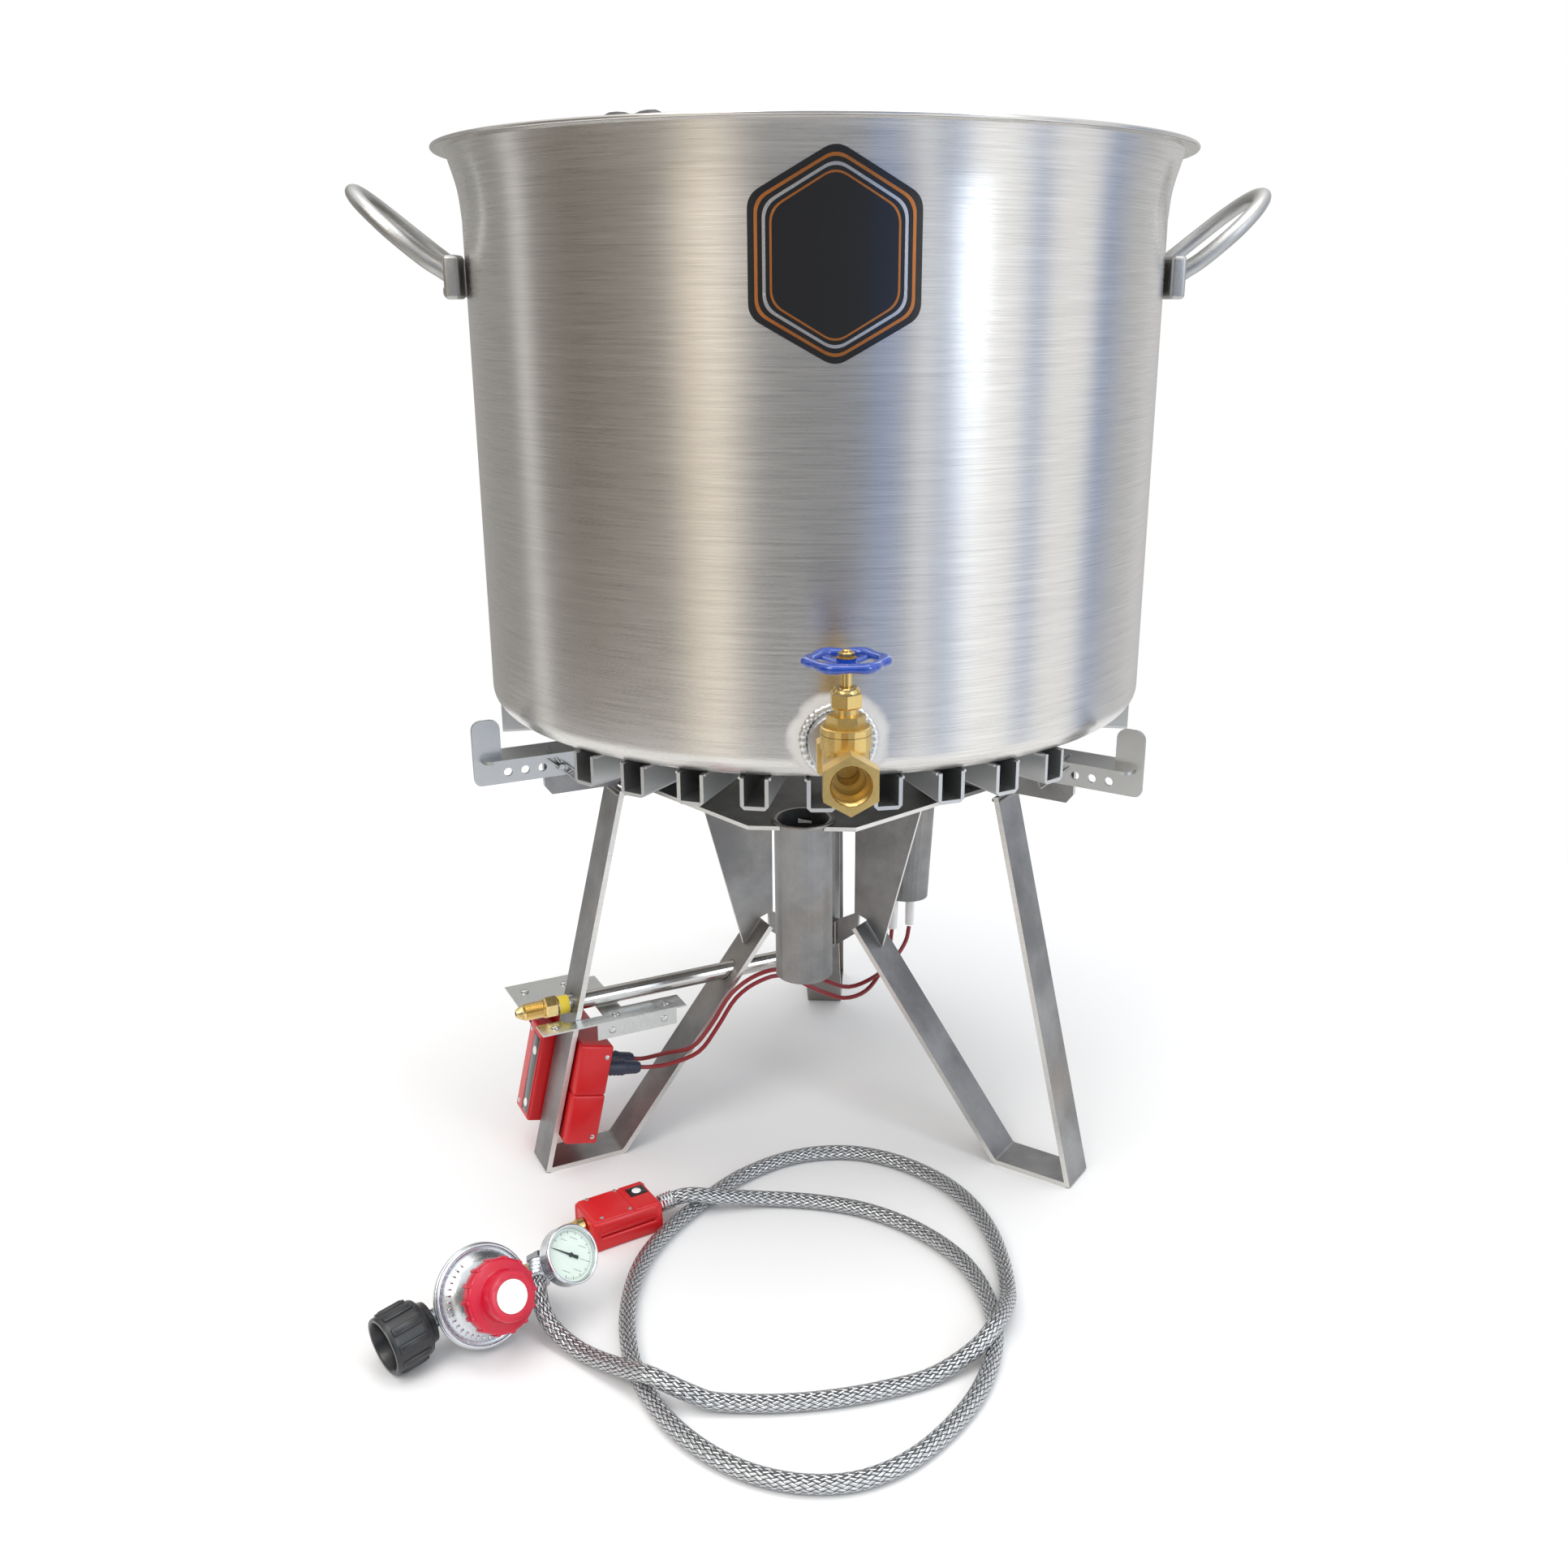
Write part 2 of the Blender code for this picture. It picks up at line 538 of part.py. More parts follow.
def burner_parts(stand):
    mill = looks["mill"]
    corners = []
    for middle in (radians(270), radians(30), radians(150)):
        along_edge = (-sin(middle), cos(middle))
        for step in (-1, 1):
            reach = (PLATE_FRONT * cos(middle), PLATE_FRONT * sin(middle))
            corners.append((reach[0] + step * PLATE_HALF_EDGE * along_edge[0], reach[1] + step * PLATE_HALF_EDGE * along_edge[1]))
        tip = middle + radians(60)
        corners.append((0.1794 * cos(tip), 0.1794 * sin(tip)))
    plate = prism("burner_plate", corners, PLATE_TOP - PLATE_THICK, PLATE_TOP, mill, stand)
    sight = pipe("sight_tube", stand, radians(270), 0.1840, 0.3595, 0.142)
    pipe("igniter_tube", stand, radians(30), 0.1085, PLATE_TOP - PLATE_THICK - 0.003, 0.152)
    flame = drill((0, 0, PLATE_TOP), (0, 0, 1), 0.062, 0.02, stand, 40)
    nest = drill((0, -0.1842, PLATE_TOP), (0, -sin(PIPE_LEAN), cos(PIPE_LEAN)), PIPE_RADIUS + 0.0006, 0.03, stand, 32)
    port = drill((0.1085 * cos(radians(30)), 0.1085 * sin(radians(30)), PLATE_TOP), (0, 0, 1), 0.016, 0.02, stand, 24)
    cut(plate, flame, nest, port)
    window = box("window", (-0.0056, -0.170, 0.3475), (0.0056, -0.140, 0.3525), mill, stand)
    cut(sight, window)
    tube = [(PIPE_RADIUS - PIPE_WALL, 0.168), (PIPE_RADIUS, 0.168), (PIPE_RADIUS, 0.300), (PIPE_RADIUS - PIPE_WALL, 0.300)]
    turned("jet_tube", tube, mill, stand, sides=32, ring=True)


def pipe(name, stand, azimuth, reach, top, length):
    """A plain pipe that leans outwards a little; reach and top give the middle of its upper end."""
    lean = Vector((cos(azimuth) * sin(PIPE_LEAN), sin(azimuth) * sin(PIPE_LEAN), cos(PIPE_LEAN)))
    place = Vector((reach * cos(azimuth), reach * sin(azimuth), top)) - lean * length
    ring = [(PIPE_RADIUS - PIPE_WALL, 0), (PIPE_RADIUS, 0), (PIPE_RADIUS, length), (PIPE_RADIUS - PIPE_WALL, length)]
    return turned(name, ring, looks["mill"], stand, along(place, lean), 32, True)


def gas_parts(leg_axis):
    """The feed tube through the left leg, its flare fitting outside and the orifice under the jet tube."""
    bore = GAS_RADIUS - 0.0012
    ends = [(0, -0.012), (GAS_RADIUS, -0.012), (GAS_RADIUS, 0.262), (bore, 0.262), (bore, -0.008), (0, -0.008)]
    tube = turned("gas_tube", ends, looks["stainless"], leg_axis, along((0, 0, GAS_HEIGHT), (1, 0, 0)), 20)
    cut(tube, drill((0, 0, GAS_HEIGHT + 0.006), (0, 0, 1), 0.0025, 0.01, leg_axis, 8))
    high = GAS_HEIGHT + GAS_RADIUS + GAP
    nozzle = [(0.0026, high), (0.0062, high), (0.0062, high + 0.010), (0.0036, high + 0.018), (0.0010, high + 0.018)]
    nozzle += [(0.0010, high + 0.004), (0.0026, high + 0.004)]
    turned("gas_orifice", nozzle, looks["brass"], leg_axis, sides=12, ring=True)
    matrix = along((0.2624, 0, GAS_HEIGHT), (1, 0, 0))
    fitting = prism("flare_fitting", polygon(0.0210), 0, 0.012, looks["brass"], leg_axis, matrix)
    threads = [(0, 0.011), (0.0079, 0.011), (0.0079, 0.030), (0.0062, 0.0305), (0.0062, 0.033), (0.0035, 0.038), (0, 0.038)]
    join(fitting, turned("threads", threads, looks["brass"], leg_axis, matrix, 20))
    cut(fitting, drill((0.2824, 0, GAS_HEIGHT), (1, 0, 0), 0.0024, 0.06, leg_axis, 12))


def bar_frame():
    """On the left leg's outer bar: +X out of the bar's face, +Y across it, +Z up along it, from the ground."""
    up = Vector((LEG_TOP[0] - FOOT_OUT, 0, LEG_TOP[1])).normalized()
    face = Vector((up.z, 0, -up.x))
    turn = Matrix((face, Vector((0, 1, 0)), up)).transposed()
    return Matrix.Translation((FOOT_OUT, 0, 0)) @ turn.to_4x4()


def igniter_parts(leg_axis):
    """The battery igniter on the left leg: case behind the bar, control panel beside it, boots and leads."""
    bar = empty("bar_axis", leg_axis, matrix=bar_frame())
    half = BAR_THICK / 2 + GAP
    red = looks["red"]
    case_low, case_high = 0.033, 0.131
    case = box("controller_case", (-half - 0.0315, -0.0585, case_low), (-half, 0.0300, case_high), red, bar)
    soften(case, 0.0025)
    face = 0.0168
    outline = [(-half + GAP, case_low + 0.004), (face - 0.004, case_low - 0.002), (face, case_low + 0.010)]
    outline += [(face, 0.118), (face - 0.004, 0.1225), (-half + GAP, 0.1225)]
    verts = [(x, -0.0585, z) for x, z in outline] + [(x, -0.0215, z) for x, z in outline]
    count = len(outline)
    faces = [list(range(count)), list(range(count, 2 * count))]
    faces += [[i, (i + 1) % count, count + (i + 1) % count, count + i] for i in range(count)]
    panel = add("controller_panel", verts, faces, red, bar)
    wells = []
    for name, height in (("upper_button", 0.0985), ("lower_button", 0.0460)):
        place = (face, -0.0325, height)
        cap = [(0, -0.0030), (0.0044, -0.0030), (0.0044, 0.0006), (0.0038, 0.0012), (0, 0.0012)]
        turned(name, cap, looks["white"], bar, along(place, (1, 0, 0)), 20)
        wells.append(drill(place, (1, 0, 0), 0.0048, 0.0092, bar, 20))
    cut(panel, *wells)
    back = -half - 0.0315 - GAP
    for name, across in (("boot_near", 0.0170), ("boot_far", -0.0015)):
        boot = [(0, 0), (0.0078, 0), (0.0078, 0.018), (0.0064, 0.020), (0.0064, 0.031), (0.0050, 0.033), (0, 0.033)]
        turned(name, boot, looks["navy"], bar, along((back, across, 0.104), (-1, 0, 0)), 12)
    tray_parts(leg_axis)


def soften(obj, width):
    bevel = obj.modifiers.new("rounding", "BEVEL")
    bevel.width = width
    bevel.segments = 2
    bevel.limit_method = "ANGLE"


def tray_parts(leg_axis):
    """The sheet tray over the igniter and the heat shield on spacers above it."""
    zinc = looks["zinc"]
    low = 0.1462
    tray = box("control_tray", (0.205, -0.064, low), (0.286, 0.034, low + 0.0015), zinc, leg_axis)
    strip_front = box("tray_front", (0.150, 0.010, low), (0.236, 0.034, low + 0.0015), zinc, leg_axis)
    lip = box("front_lip", (0.160, 0.0325, low - 0.0150), (0.236, 0.034, low + 0.0010), zinc, leg_axis)
    side = [(0.252, low - 0.075), (0.286, low + 0.0010), (0.250, low + 0.0010), (0.238, low - 0.075)]
    cheek = upright("cheek", side, 0.0015, zinc, leg_axis, -0.0632)
    join(tray, strip_front, lip, cheek)
    bar_slot = box("bar_slot", (0.225, -0.0196, 0.12), (0.262, 0.0196, 0.16), zinc, leg_axis)
    cut(tray, bar_slot, box("fitting_slot", (0.255, -0.0125, 0.12), (0.300, 0.0125, 0.16), zinc, leg_axis))
    shield_low = low + 0.0060
    shield = box("heat_shield", (0.230, -0.066, shield_low), (0.292, -0.0200, shield_low + 0.0012), zinc, leg_axis)
    posts = []
    for reach in (0.240, 0.278):
        outline = [(0, 0.0021), (0.0035, 0.0021), (0.0035, 0.0065), (0, 0.0065)]
        place = Matrix.Translation((reach, -0.048, low))
        posts.append(turned("spacer", outline, zinc, leg_axis, place, 12))
    join(shield, *posts)


def electrode_parts():
    """Two ceramic electrodes hang from the igniter tube; the leads run to them past the jet tube."""
    lead = looks["lead"]
    routes = {
        "spark_lead": [(-0.1632, -0.1022, 0.0856), (-0.1532, -0.0971, 0.0830), (-0.134, -0.092, 0.084), (-0.109, -0.084, 0.092), (-0.092, -0.076, 0.113)]
        + [(-0.074, -0.066, 0.139), (-0.052, -0.055, 0.151), (-0.029, -0.046, 0.152), (0.004, -0.040, 0.134)]
        + [(0.028, -0.030, 0.121), (0.050, -0.012, 0.120), (0.066, 0.010, 0.132), (0.0745, 0.028, 0.150), (0.0770, 0.0330, 0.166)],
        "sense_lead": [(-0.1716, -0.0857, 0.0856), (-0.1616, -0.0807, 0.0830), (-0.140, -0.0800, 0.0885), (-0.115, -0.085, 0.0975), (-0.0975, -0.078, 0.1165)]
        + [(-0.0785, -0.0675, 0.144), (-0.054, -0.056, 0.158), (-0.027, -0.046, 0.159), (0.008, -0.036, 0.143)]
        + [(0.033, -0.022, 0.129), (0.058, -0.011, 0.1345), (0.079, 0.0150, 0.1420), (0.0915, 0.040, 0.150), (0.0950, 0.0475, 0.163)],
    }
    for name, route in routes.items():
        wire(name, smooth(route, 4), 0.0021, lead, root)
    for name, place in (("electrode_left", (0.0775, 0.0335, 0.1675)), ("electrode_right", (0.0955, 0.0480, 0.1655))):
        lean = 0.025 if name == "electrode_left" else -0.005
        rise = Vector((lean, 0.01, 1)).normalized()
        body = [(0, 0), (0.0046, 0), (0.0046, 0.034), (0.0030, 0.036), (0.0030, 0.060), (0.0012, 0.062), (0.0012, 0.085), (0, 0.085)]
        turned(name, body, looks["ceramic"], root, along(place, rise), 14)


# ---------------------------------------------------------------------------------------------- gas kit

REGULATOR = Vector((-0.2550, -0.3755, 0.0388))
REGULATOR_AXIS = Vector((0.608, -0.645, 0.463)).normalized()
NUT_AXIS = Vector((-0.731, -0.676, -0.093)).normalized()
GAUGE = Vector((-0.1908, -0.3518, 0.0580))
GAUGE_AXIS = Vector((0.646, -0.501, 0.576)).normalized()
GAUGE_RADIUS = 0.0232
NEEDLE_REST = radians(45)
TEE = GAUGE - GAUGE_AXIS * 0.045
VALVE_BOX = Vector((-0.1690, -0.2340, 0))
VALVE_BOX_TURN = radians(32)
VALVE_BOX_HALF = (0.0325, 0.0212)
HOSE_ROUTE = [
    (-0.2170, -0.3490, 0.0312),
    (-0.2150, -0.3597, 0.0290),
    (-0.2087, -0.3735, 0.0200),
    (-0.1961, -0.3858, 0.0112),
    (-0.1730, -0.4045, 0.0082),
    (-0.1400, -0.4300, 0.0155),
    (-0.1230, -0.4420, 0.0207),
    (-0.1050, -0.4505, 0.0186),
    (-0.0880, -0.4545, 0.0130),
    (-0.0700, -0.4565, 0.0084),
    (-0.0270, -0.4560, 0.0068),
    (0.0140, -0.4510, 0.0068),
    (0.0500, -0.4420, 0.0068),
    (0.0880, -0.4270, 0.0068),
    (0.1215, -0.4060, 0.0150),
    (0.1392, -0.3838, 0.0208),
    (0.1500, -0.3560, 0.0150),
    (0.1550, -0.3300, 0.0080),
    (0.1555, -0.2900, 0.0068),
    (0.1500, -0.2450, 0.0068),
    (0.1360, -0.2030, 0.0068),
    (0.1120, -0.1670, 0.0068),
    (0.0740, -0.1360, 0.0068),
    (0.0300, -0.1215, 0.0068),
    (-0.0190, -0.1290, 0.0068),
    (-0.0640, -0.1590, 0.0068),
    (-0.0970, -0.1990, 0.0068),
    (-0.1250, -0.2430, 0.0068),
    (-0.1420, -0.2850, 0.0068),
    (-0.1480, -0.3290, 0.0068),
    (-0.1455, -0.3735, 0.0068),
    (-0.1355, -0.4155, 0.0068),
    (-0.1180, -0.4530, 0.0068),
    (-0.0960, -0.4840, 0.0068),
    (-0.0665, -0.5105, 0.0068),
    (-0.0340, -0.5275, 0.0068),
    (0.0015, -0.5340, 0.0068),
    (0.0360, -0.5285, 0.0068),
    (0.0700, -0.5080, 0.0068),
    (0.1030, -0.4710, 0.0068),
    (0.1265, -0.4290, 0.0068),
    (0.1390, -0.3810, 0.0068),
    (0.1370, -0.3320, 0.0068),
    (0.1210, -0.2850, 0.0068),
    (0.0880, -0.2440, 0.0068),
    (0.0460, -0.2155, 0.0068),
    (0.0010, -0.2020, 0.0068),
    (-0.0440, -0.1995, 0.0085),
    (-0.0840, -0.2090, 0.0165),
    (-0.1080, -0.2130, 0.0212),
    (-0.1235, -0.2145, 0.0185),
    (-0.1365, -0.2205, 0.0160),
]


def regulator_parts():
    zinc = looks["zinc"]
    body = [(0, -0.030), (0.016, -0.030), (0.019, -0.026), (0.021, -0.013), (0.035, -0.008), (0.0392, -0.004)]
    body += [(0.0392, 0.003), (0.036, 0.006), (0.026, 0.010), (0.0225, 0.021), (0.0065, 0.021), (0.0065, 0.0395), (0, 0.0395)]
    regulator = turned("regulator_body", body, zinc, root, along(REGULATOR, REGULATOR_AXIS), 36)
    start = REGULATOR - REGULATOR_AXIS * 0.016
    neck = [(0, 0), (0.0072, 0), (0.0072, 0.050), (0.0055, 0.051), (0.0055, 0.0680), (0, 0.0680)]
    neck_body = turned("neck", neck, zinc, root, along(start, NUT_AXIS), 16)
    run = (Vector(HOSE_ROUTE[1]) - Vector(HOSE_ROUTE[0])).normalized()
    crimp_start = Vector(HOSE_ROUTE[0]) - run * 0.0172
    crimp = [(0, 0), (0.0098, 0), (0.0098, 0.0160), (0, 0.0160)]
    crimp_body = turned("crimp", crimp, zinc, root, along(crimp_start, run), 20)
    tee_body = rod("tee", [TEE - run * 0.010, TEE, crimp_start + run * 0.003], 0.0088, zinc, root, 16)
    stem = rod("gauge_stem", [TEE - GAUGE_AXIS * 0.004, GAUGE - GAUGE_AXIS * (0.0110 + GAP)], 0.0064, zinc, root, 14)
    nipple = rod("nipple", [REGULATOR - REGULATOR_AXIS * 0.016, TEE], 0.0064, zinc, root, 14)
    join(regulator, neck_body, tee_body, stem, nipple, crimp_body)
    matrix = along(REGULATOR, REGULATOR_AXIS)
    knob = [(0, 0.0410), (0.0070, 0.0410), (0.0070, 0.0225), (0.0265, 0.0225), (0.0285, 0.0235), (0.0285, 0.0335)]
    knob += [(0.0262, 0.0350), (0.0192, 0.0360), (0.0185, 0.0490), (0.0175, 0.0500), (0, 0.0500)]
    turned("regulator_knob", knob, looks["crimson"], root, matrix, 36)
    nut_start = start + NUT_AXIS * 0.0390
    nut = [(0.0110, 0.0), (0.0160, 0.0), (0.0175, 0.004), (0.0224, 0.0075), (0.0238, 0.014), (0.0240, 0.034)]
    nut += [(0.0228, 0.0382), (0.0190, 0.0382), (0.0178, 0.014), (0.0110, 0.012)]
    turned("tank_nut", nut, looks["black"], root, along(nut_start, NUT_AXIS), 24, True)


def gauge_parts():
    rim = GAUGE_RADIUS
    case = [(0, -0.0110), (rim - 0.0045, -0.0110), (rim, -0.0060), (rim, 0.0040), (rim - 0.0012, 0.0055)]
    case += [(rim - 0.0026, 0.0055), (rim - 0.0026, 0.0005), (0, 0.0005)]
    turned("gauge_case", case, looks["chrome"], root, along(GAUGE, GAUGE_AXIS), 36)
    blade = [(-0.0070, -0.0012), (0.0010, -0.0011), (0.0165, -0.0002), (0.0165, 0.0002), (0.0010, 0.0011), (-0.0070, 0.0012)]
    matrix = along(GAUGE, GAUGE_AXIS) @ Matrix.Rotation(NEEDLE_REST, 4, "Z")
    prism("gauge_needle", blade, 0.0014, 0.0022, looks["black"], root, matrix)


def valve_box_parts():
    axis = empty("valve_box_axis", root, VALVE_BOX, VALVE_BOX_TURN)
    long, wide = VALVE_BOX_HALF
    case = box("valve_box", (-long, -wide, 0), (long, wide, 0.0285), looks["red"], axis)
    soften(case, 0.003)
    place = (0.0200, 0.0060, 0.0285)
    cut(case, drill(place, (0, 0, 1), 0.0046, 0.0092, axis, 20))
    cap = [(0, -0.0028), (0.0042, -0.0028), (0.0042, 0.0006), (0.0036, 0.0011), (0, 0.0011)]
    turned("valve_box_button", cap, looks["white"], axis, Matrix.Translation(place), 20)
    matrix = along((-long - GAP, 0, 0.0150), (-1, 0, 0))
    outlet = [(0.0045, 0), (0.0085, 0), (0.0085, 0.0060), (0.0070, 0.0065), (0.0070, 0.0150), (0.0045, 0.0150)]
    turned("valve_box_outlet", outlet, looks["brass"], axis, matrix, 20, True)


def gas_hose():
    knots = smooth(HOSE_ROUTE, 6)
    step = HOSE_STEP
    points, travelled = [knots[0]], 0.0
    for before, after in zip(knots, knots[1:]):
        travelled += (after - before).length
        if travelled >= step:
            points.append(after)
            travelled = 0.0
    points[-1] = knots[-1]
    wire("gas_hose", points, HOSE_RADIUS, looks["braid"], root, 2)


def build():
    global root, looks
    clear_scene()
    looks = {
        "aluminium": finish("brushed_aluminium", (0.72, 0.71, 0.69), 1.0, 0.30),
        "aluminium_raw": finish("raw_aluminium", (0.66, 0.67, 0.68), 1.0, 0.40),
        "cast": finish("cast_aluminium", (0.62, 0.62, 0.60), 1.0, 0.45),
        "basket": finish("basket_aluminium", (0.60, 0.60, 0.60), 1.0, 0.40),
        "brass": finish("brass", (0.75, 0.58, 0.24), 1.0, 0.28),
        "mill": finish("mill_steel", (0.40, 0.38, 0.35), 1.0, 0.45),
        "steel": finish("steel", (0.50, 0.50, 0.50), 1.0, 0.40),
        "zinc": finish("zinc_plate", (0.66, 0.68, 0.67), 1.0, 0.38),
        "stainless": finish("stainless", (0.62, 0.60, 0.57), 1.0, 0.20),
        "chrome": finish("chrome", (0.80, 0.80, 0.80), 1.0, 0.12),
        "braid": finish("steel_braid", (0.55, 0.56, 0.58), 1.0, 0.35),
        "blue": finish("blue_paint", (0.01, 0.06, 0.42), 0.0, 0.25),
        "red": finish("red_plastic", (0.75, 0.02, 0.03), 0.0, 0.40),
        "crimson": finish("crimson_plastic", (0.70, 0.01, 0.06), 0.0, 0.35),
        "white": finish("white_plastic", (0.85, 0.85, 0.82), 0.0, 0.40),
        "ceramic": finish("white_ceramic", (0.88, 0.88, 0.86), 0.0, 0.20),
        "navy": finish("navy_rubber", (0.03, 0.04, 0.07), 0.0, 0.60),
        "lead": finish("red_silicone", (0.28, 0.02, 0.03), 0.0, 0.45),
        "black": finish("black_plastic", (0.015, 0.015, 0.016), 0.0, 0.45),
    }
    root = empty("ground_axis", None, (0, 0, -FLOOR))
    kettle = empty("kettle_axis", root, (0, 0, 0), KETTLE_TURN)
    kettle_shell(kettle)
    for name, middle in (("front", 270), ("right", 30), ("left", 150)):
        tunnel_group("tunnels_" + name, radians(middle) - radians(2.5), kettle)
    handle("handle_left", -1, kettle)
    handle("handle_right", 1, kettle)
    drain_parts(kettle)
    basket_parts(kettle)
    stand = empty("stand_axis", root, (0, 0, 0), radians(-3))
    for side, azimuth in LEG_AZIMUTHS.items():
        axis = empty("leg_axis_" + side, root, (0, 0, 0), azimuth)
        leg("leg_" + side, side, axis)
        gusset("gusset_" + side, axis)
        arm("arm_" + side, axis)
        retainer("retainer_" + side, NEAR_SIDE[side], axis)
        retainer_pin("retainer_pin_" + side, NEAR_SIDE[side], axis)
        if side == "left":
            gas_parts(axis)
            igniter_parts(axis)
    burner_parts(stand)
    electrode_parts()
    regulator_parts()
    gauge_parts()
    valve_box_parts()
    gas_hose()


looks = {}
build()
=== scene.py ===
"""The looks of a brew kettle on its gas burner stand, with the gas kit that lies on the ground before it.

Every size is in metres and every height h is over the ground unless it says otherwise.
"""

import json
from math import cos, pi, radians, sin

import bmesh
import bpy
import numpy as np
from mathutils import Vector
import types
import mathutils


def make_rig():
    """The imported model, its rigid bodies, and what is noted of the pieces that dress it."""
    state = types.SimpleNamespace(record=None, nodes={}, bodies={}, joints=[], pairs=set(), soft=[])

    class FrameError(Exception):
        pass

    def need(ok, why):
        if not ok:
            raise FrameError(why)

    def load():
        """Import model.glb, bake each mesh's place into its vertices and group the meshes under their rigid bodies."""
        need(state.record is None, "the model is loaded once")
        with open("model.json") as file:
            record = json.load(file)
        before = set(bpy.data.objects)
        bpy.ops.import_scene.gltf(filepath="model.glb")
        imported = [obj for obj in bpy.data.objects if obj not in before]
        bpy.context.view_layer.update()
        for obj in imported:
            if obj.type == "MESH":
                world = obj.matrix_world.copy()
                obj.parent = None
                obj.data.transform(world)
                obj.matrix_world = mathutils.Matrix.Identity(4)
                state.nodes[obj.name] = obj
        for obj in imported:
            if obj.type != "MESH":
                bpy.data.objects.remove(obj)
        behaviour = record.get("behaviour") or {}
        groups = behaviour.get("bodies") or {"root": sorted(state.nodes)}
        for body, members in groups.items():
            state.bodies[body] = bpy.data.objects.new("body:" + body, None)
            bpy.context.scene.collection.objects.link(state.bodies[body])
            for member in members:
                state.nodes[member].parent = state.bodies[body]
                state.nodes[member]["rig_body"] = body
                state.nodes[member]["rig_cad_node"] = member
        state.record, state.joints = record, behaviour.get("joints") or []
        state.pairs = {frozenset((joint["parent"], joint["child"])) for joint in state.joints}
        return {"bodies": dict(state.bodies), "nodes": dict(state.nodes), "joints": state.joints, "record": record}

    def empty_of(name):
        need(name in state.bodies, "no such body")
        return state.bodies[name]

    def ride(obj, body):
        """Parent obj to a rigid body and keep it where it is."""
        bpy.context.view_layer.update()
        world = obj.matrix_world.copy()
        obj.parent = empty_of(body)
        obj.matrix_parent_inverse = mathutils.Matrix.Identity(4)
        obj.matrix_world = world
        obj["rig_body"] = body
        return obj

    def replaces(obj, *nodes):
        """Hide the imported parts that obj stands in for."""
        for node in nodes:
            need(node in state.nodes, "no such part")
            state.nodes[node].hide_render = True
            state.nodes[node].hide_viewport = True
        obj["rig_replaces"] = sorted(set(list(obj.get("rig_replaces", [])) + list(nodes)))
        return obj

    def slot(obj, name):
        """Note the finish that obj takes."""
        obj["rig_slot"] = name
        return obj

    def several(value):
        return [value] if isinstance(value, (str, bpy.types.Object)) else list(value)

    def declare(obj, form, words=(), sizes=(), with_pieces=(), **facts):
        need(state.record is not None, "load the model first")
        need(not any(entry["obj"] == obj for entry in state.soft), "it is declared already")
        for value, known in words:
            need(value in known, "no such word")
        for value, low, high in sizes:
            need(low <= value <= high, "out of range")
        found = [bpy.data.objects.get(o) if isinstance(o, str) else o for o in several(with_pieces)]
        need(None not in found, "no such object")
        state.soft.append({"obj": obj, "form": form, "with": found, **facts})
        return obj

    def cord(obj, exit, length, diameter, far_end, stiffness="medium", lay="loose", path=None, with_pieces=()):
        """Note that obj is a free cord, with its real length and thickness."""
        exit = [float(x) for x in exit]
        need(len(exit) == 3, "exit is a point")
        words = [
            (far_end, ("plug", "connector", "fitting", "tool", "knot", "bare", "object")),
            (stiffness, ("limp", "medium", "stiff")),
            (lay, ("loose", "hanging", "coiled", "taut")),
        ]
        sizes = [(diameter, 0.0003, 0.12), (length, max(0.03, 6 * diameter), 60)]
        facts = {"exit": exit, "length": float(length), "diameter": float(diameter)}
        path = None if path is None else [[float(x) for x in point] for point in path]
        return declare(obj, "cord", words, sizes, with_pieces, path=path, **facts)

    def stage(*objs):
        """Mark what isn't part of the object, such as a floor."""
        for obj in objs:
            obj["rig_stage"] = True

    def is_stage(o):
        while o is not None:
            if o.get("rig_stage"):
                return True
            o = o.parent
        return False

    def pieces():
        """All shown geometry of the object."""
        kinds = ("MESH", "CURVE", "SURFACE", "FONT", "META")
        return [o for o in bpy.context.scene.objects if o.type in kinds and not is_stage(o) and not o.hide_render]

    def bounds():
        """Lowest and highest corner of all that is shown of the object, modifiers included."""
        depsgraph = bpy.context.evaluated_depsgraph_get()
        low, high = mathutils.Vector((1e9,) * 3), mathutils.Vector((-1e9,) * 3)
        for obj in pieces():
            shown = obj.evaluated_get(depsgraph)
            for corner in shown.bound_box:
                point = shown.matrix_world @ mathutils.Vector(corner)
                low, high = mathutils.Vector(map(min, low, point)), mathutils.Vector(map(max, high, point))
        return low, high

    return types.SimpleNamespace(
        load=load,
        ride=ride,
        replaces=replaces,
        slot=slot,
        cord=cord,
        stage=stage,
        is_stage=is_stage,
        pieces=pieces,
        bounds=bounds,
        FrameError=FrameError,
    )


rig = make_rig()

bl_info = {
    "name": "Brew kettle looks",
    "version": (1, 0, 0),
    "blender": (4, 5, 0),
    "location": "3D View > Sidebar > Brew kettle",
    "description": "Builds the visible pieces of a brew kettle, its burner stand and its gas kit",
    "category": "Object",
}

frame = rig.load()
CAD_BOX = [list(corner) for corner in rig.bounds()]
GROUND = CAD_BOX[0][2]

# ------------------------------------------------------------------------------------------- surfaces


def matrix_along(direction, up=(0, 0, 1)):
    """Three rows: x as near to up as it can be, y across, and z along direction; points @ rows turns them."""
    z = np.array(direction, float)
    z /= np.linalg.norm(z)
    if abs(z @ np.array(up, float)) > 0.999:
        up = (0, 1, 0)
    side = np.cross(z, up)
    side /= np.linalg.norm(side)
    rows = np.array([np.cross(side, z), side, z])
    if np.linalg.det(rows) < 0:
        rows[1] *= -1
    return rows


def unit(direction):
    """A direction at length 1."""
    return np.array(direction) / np.linalg.norm(direction)


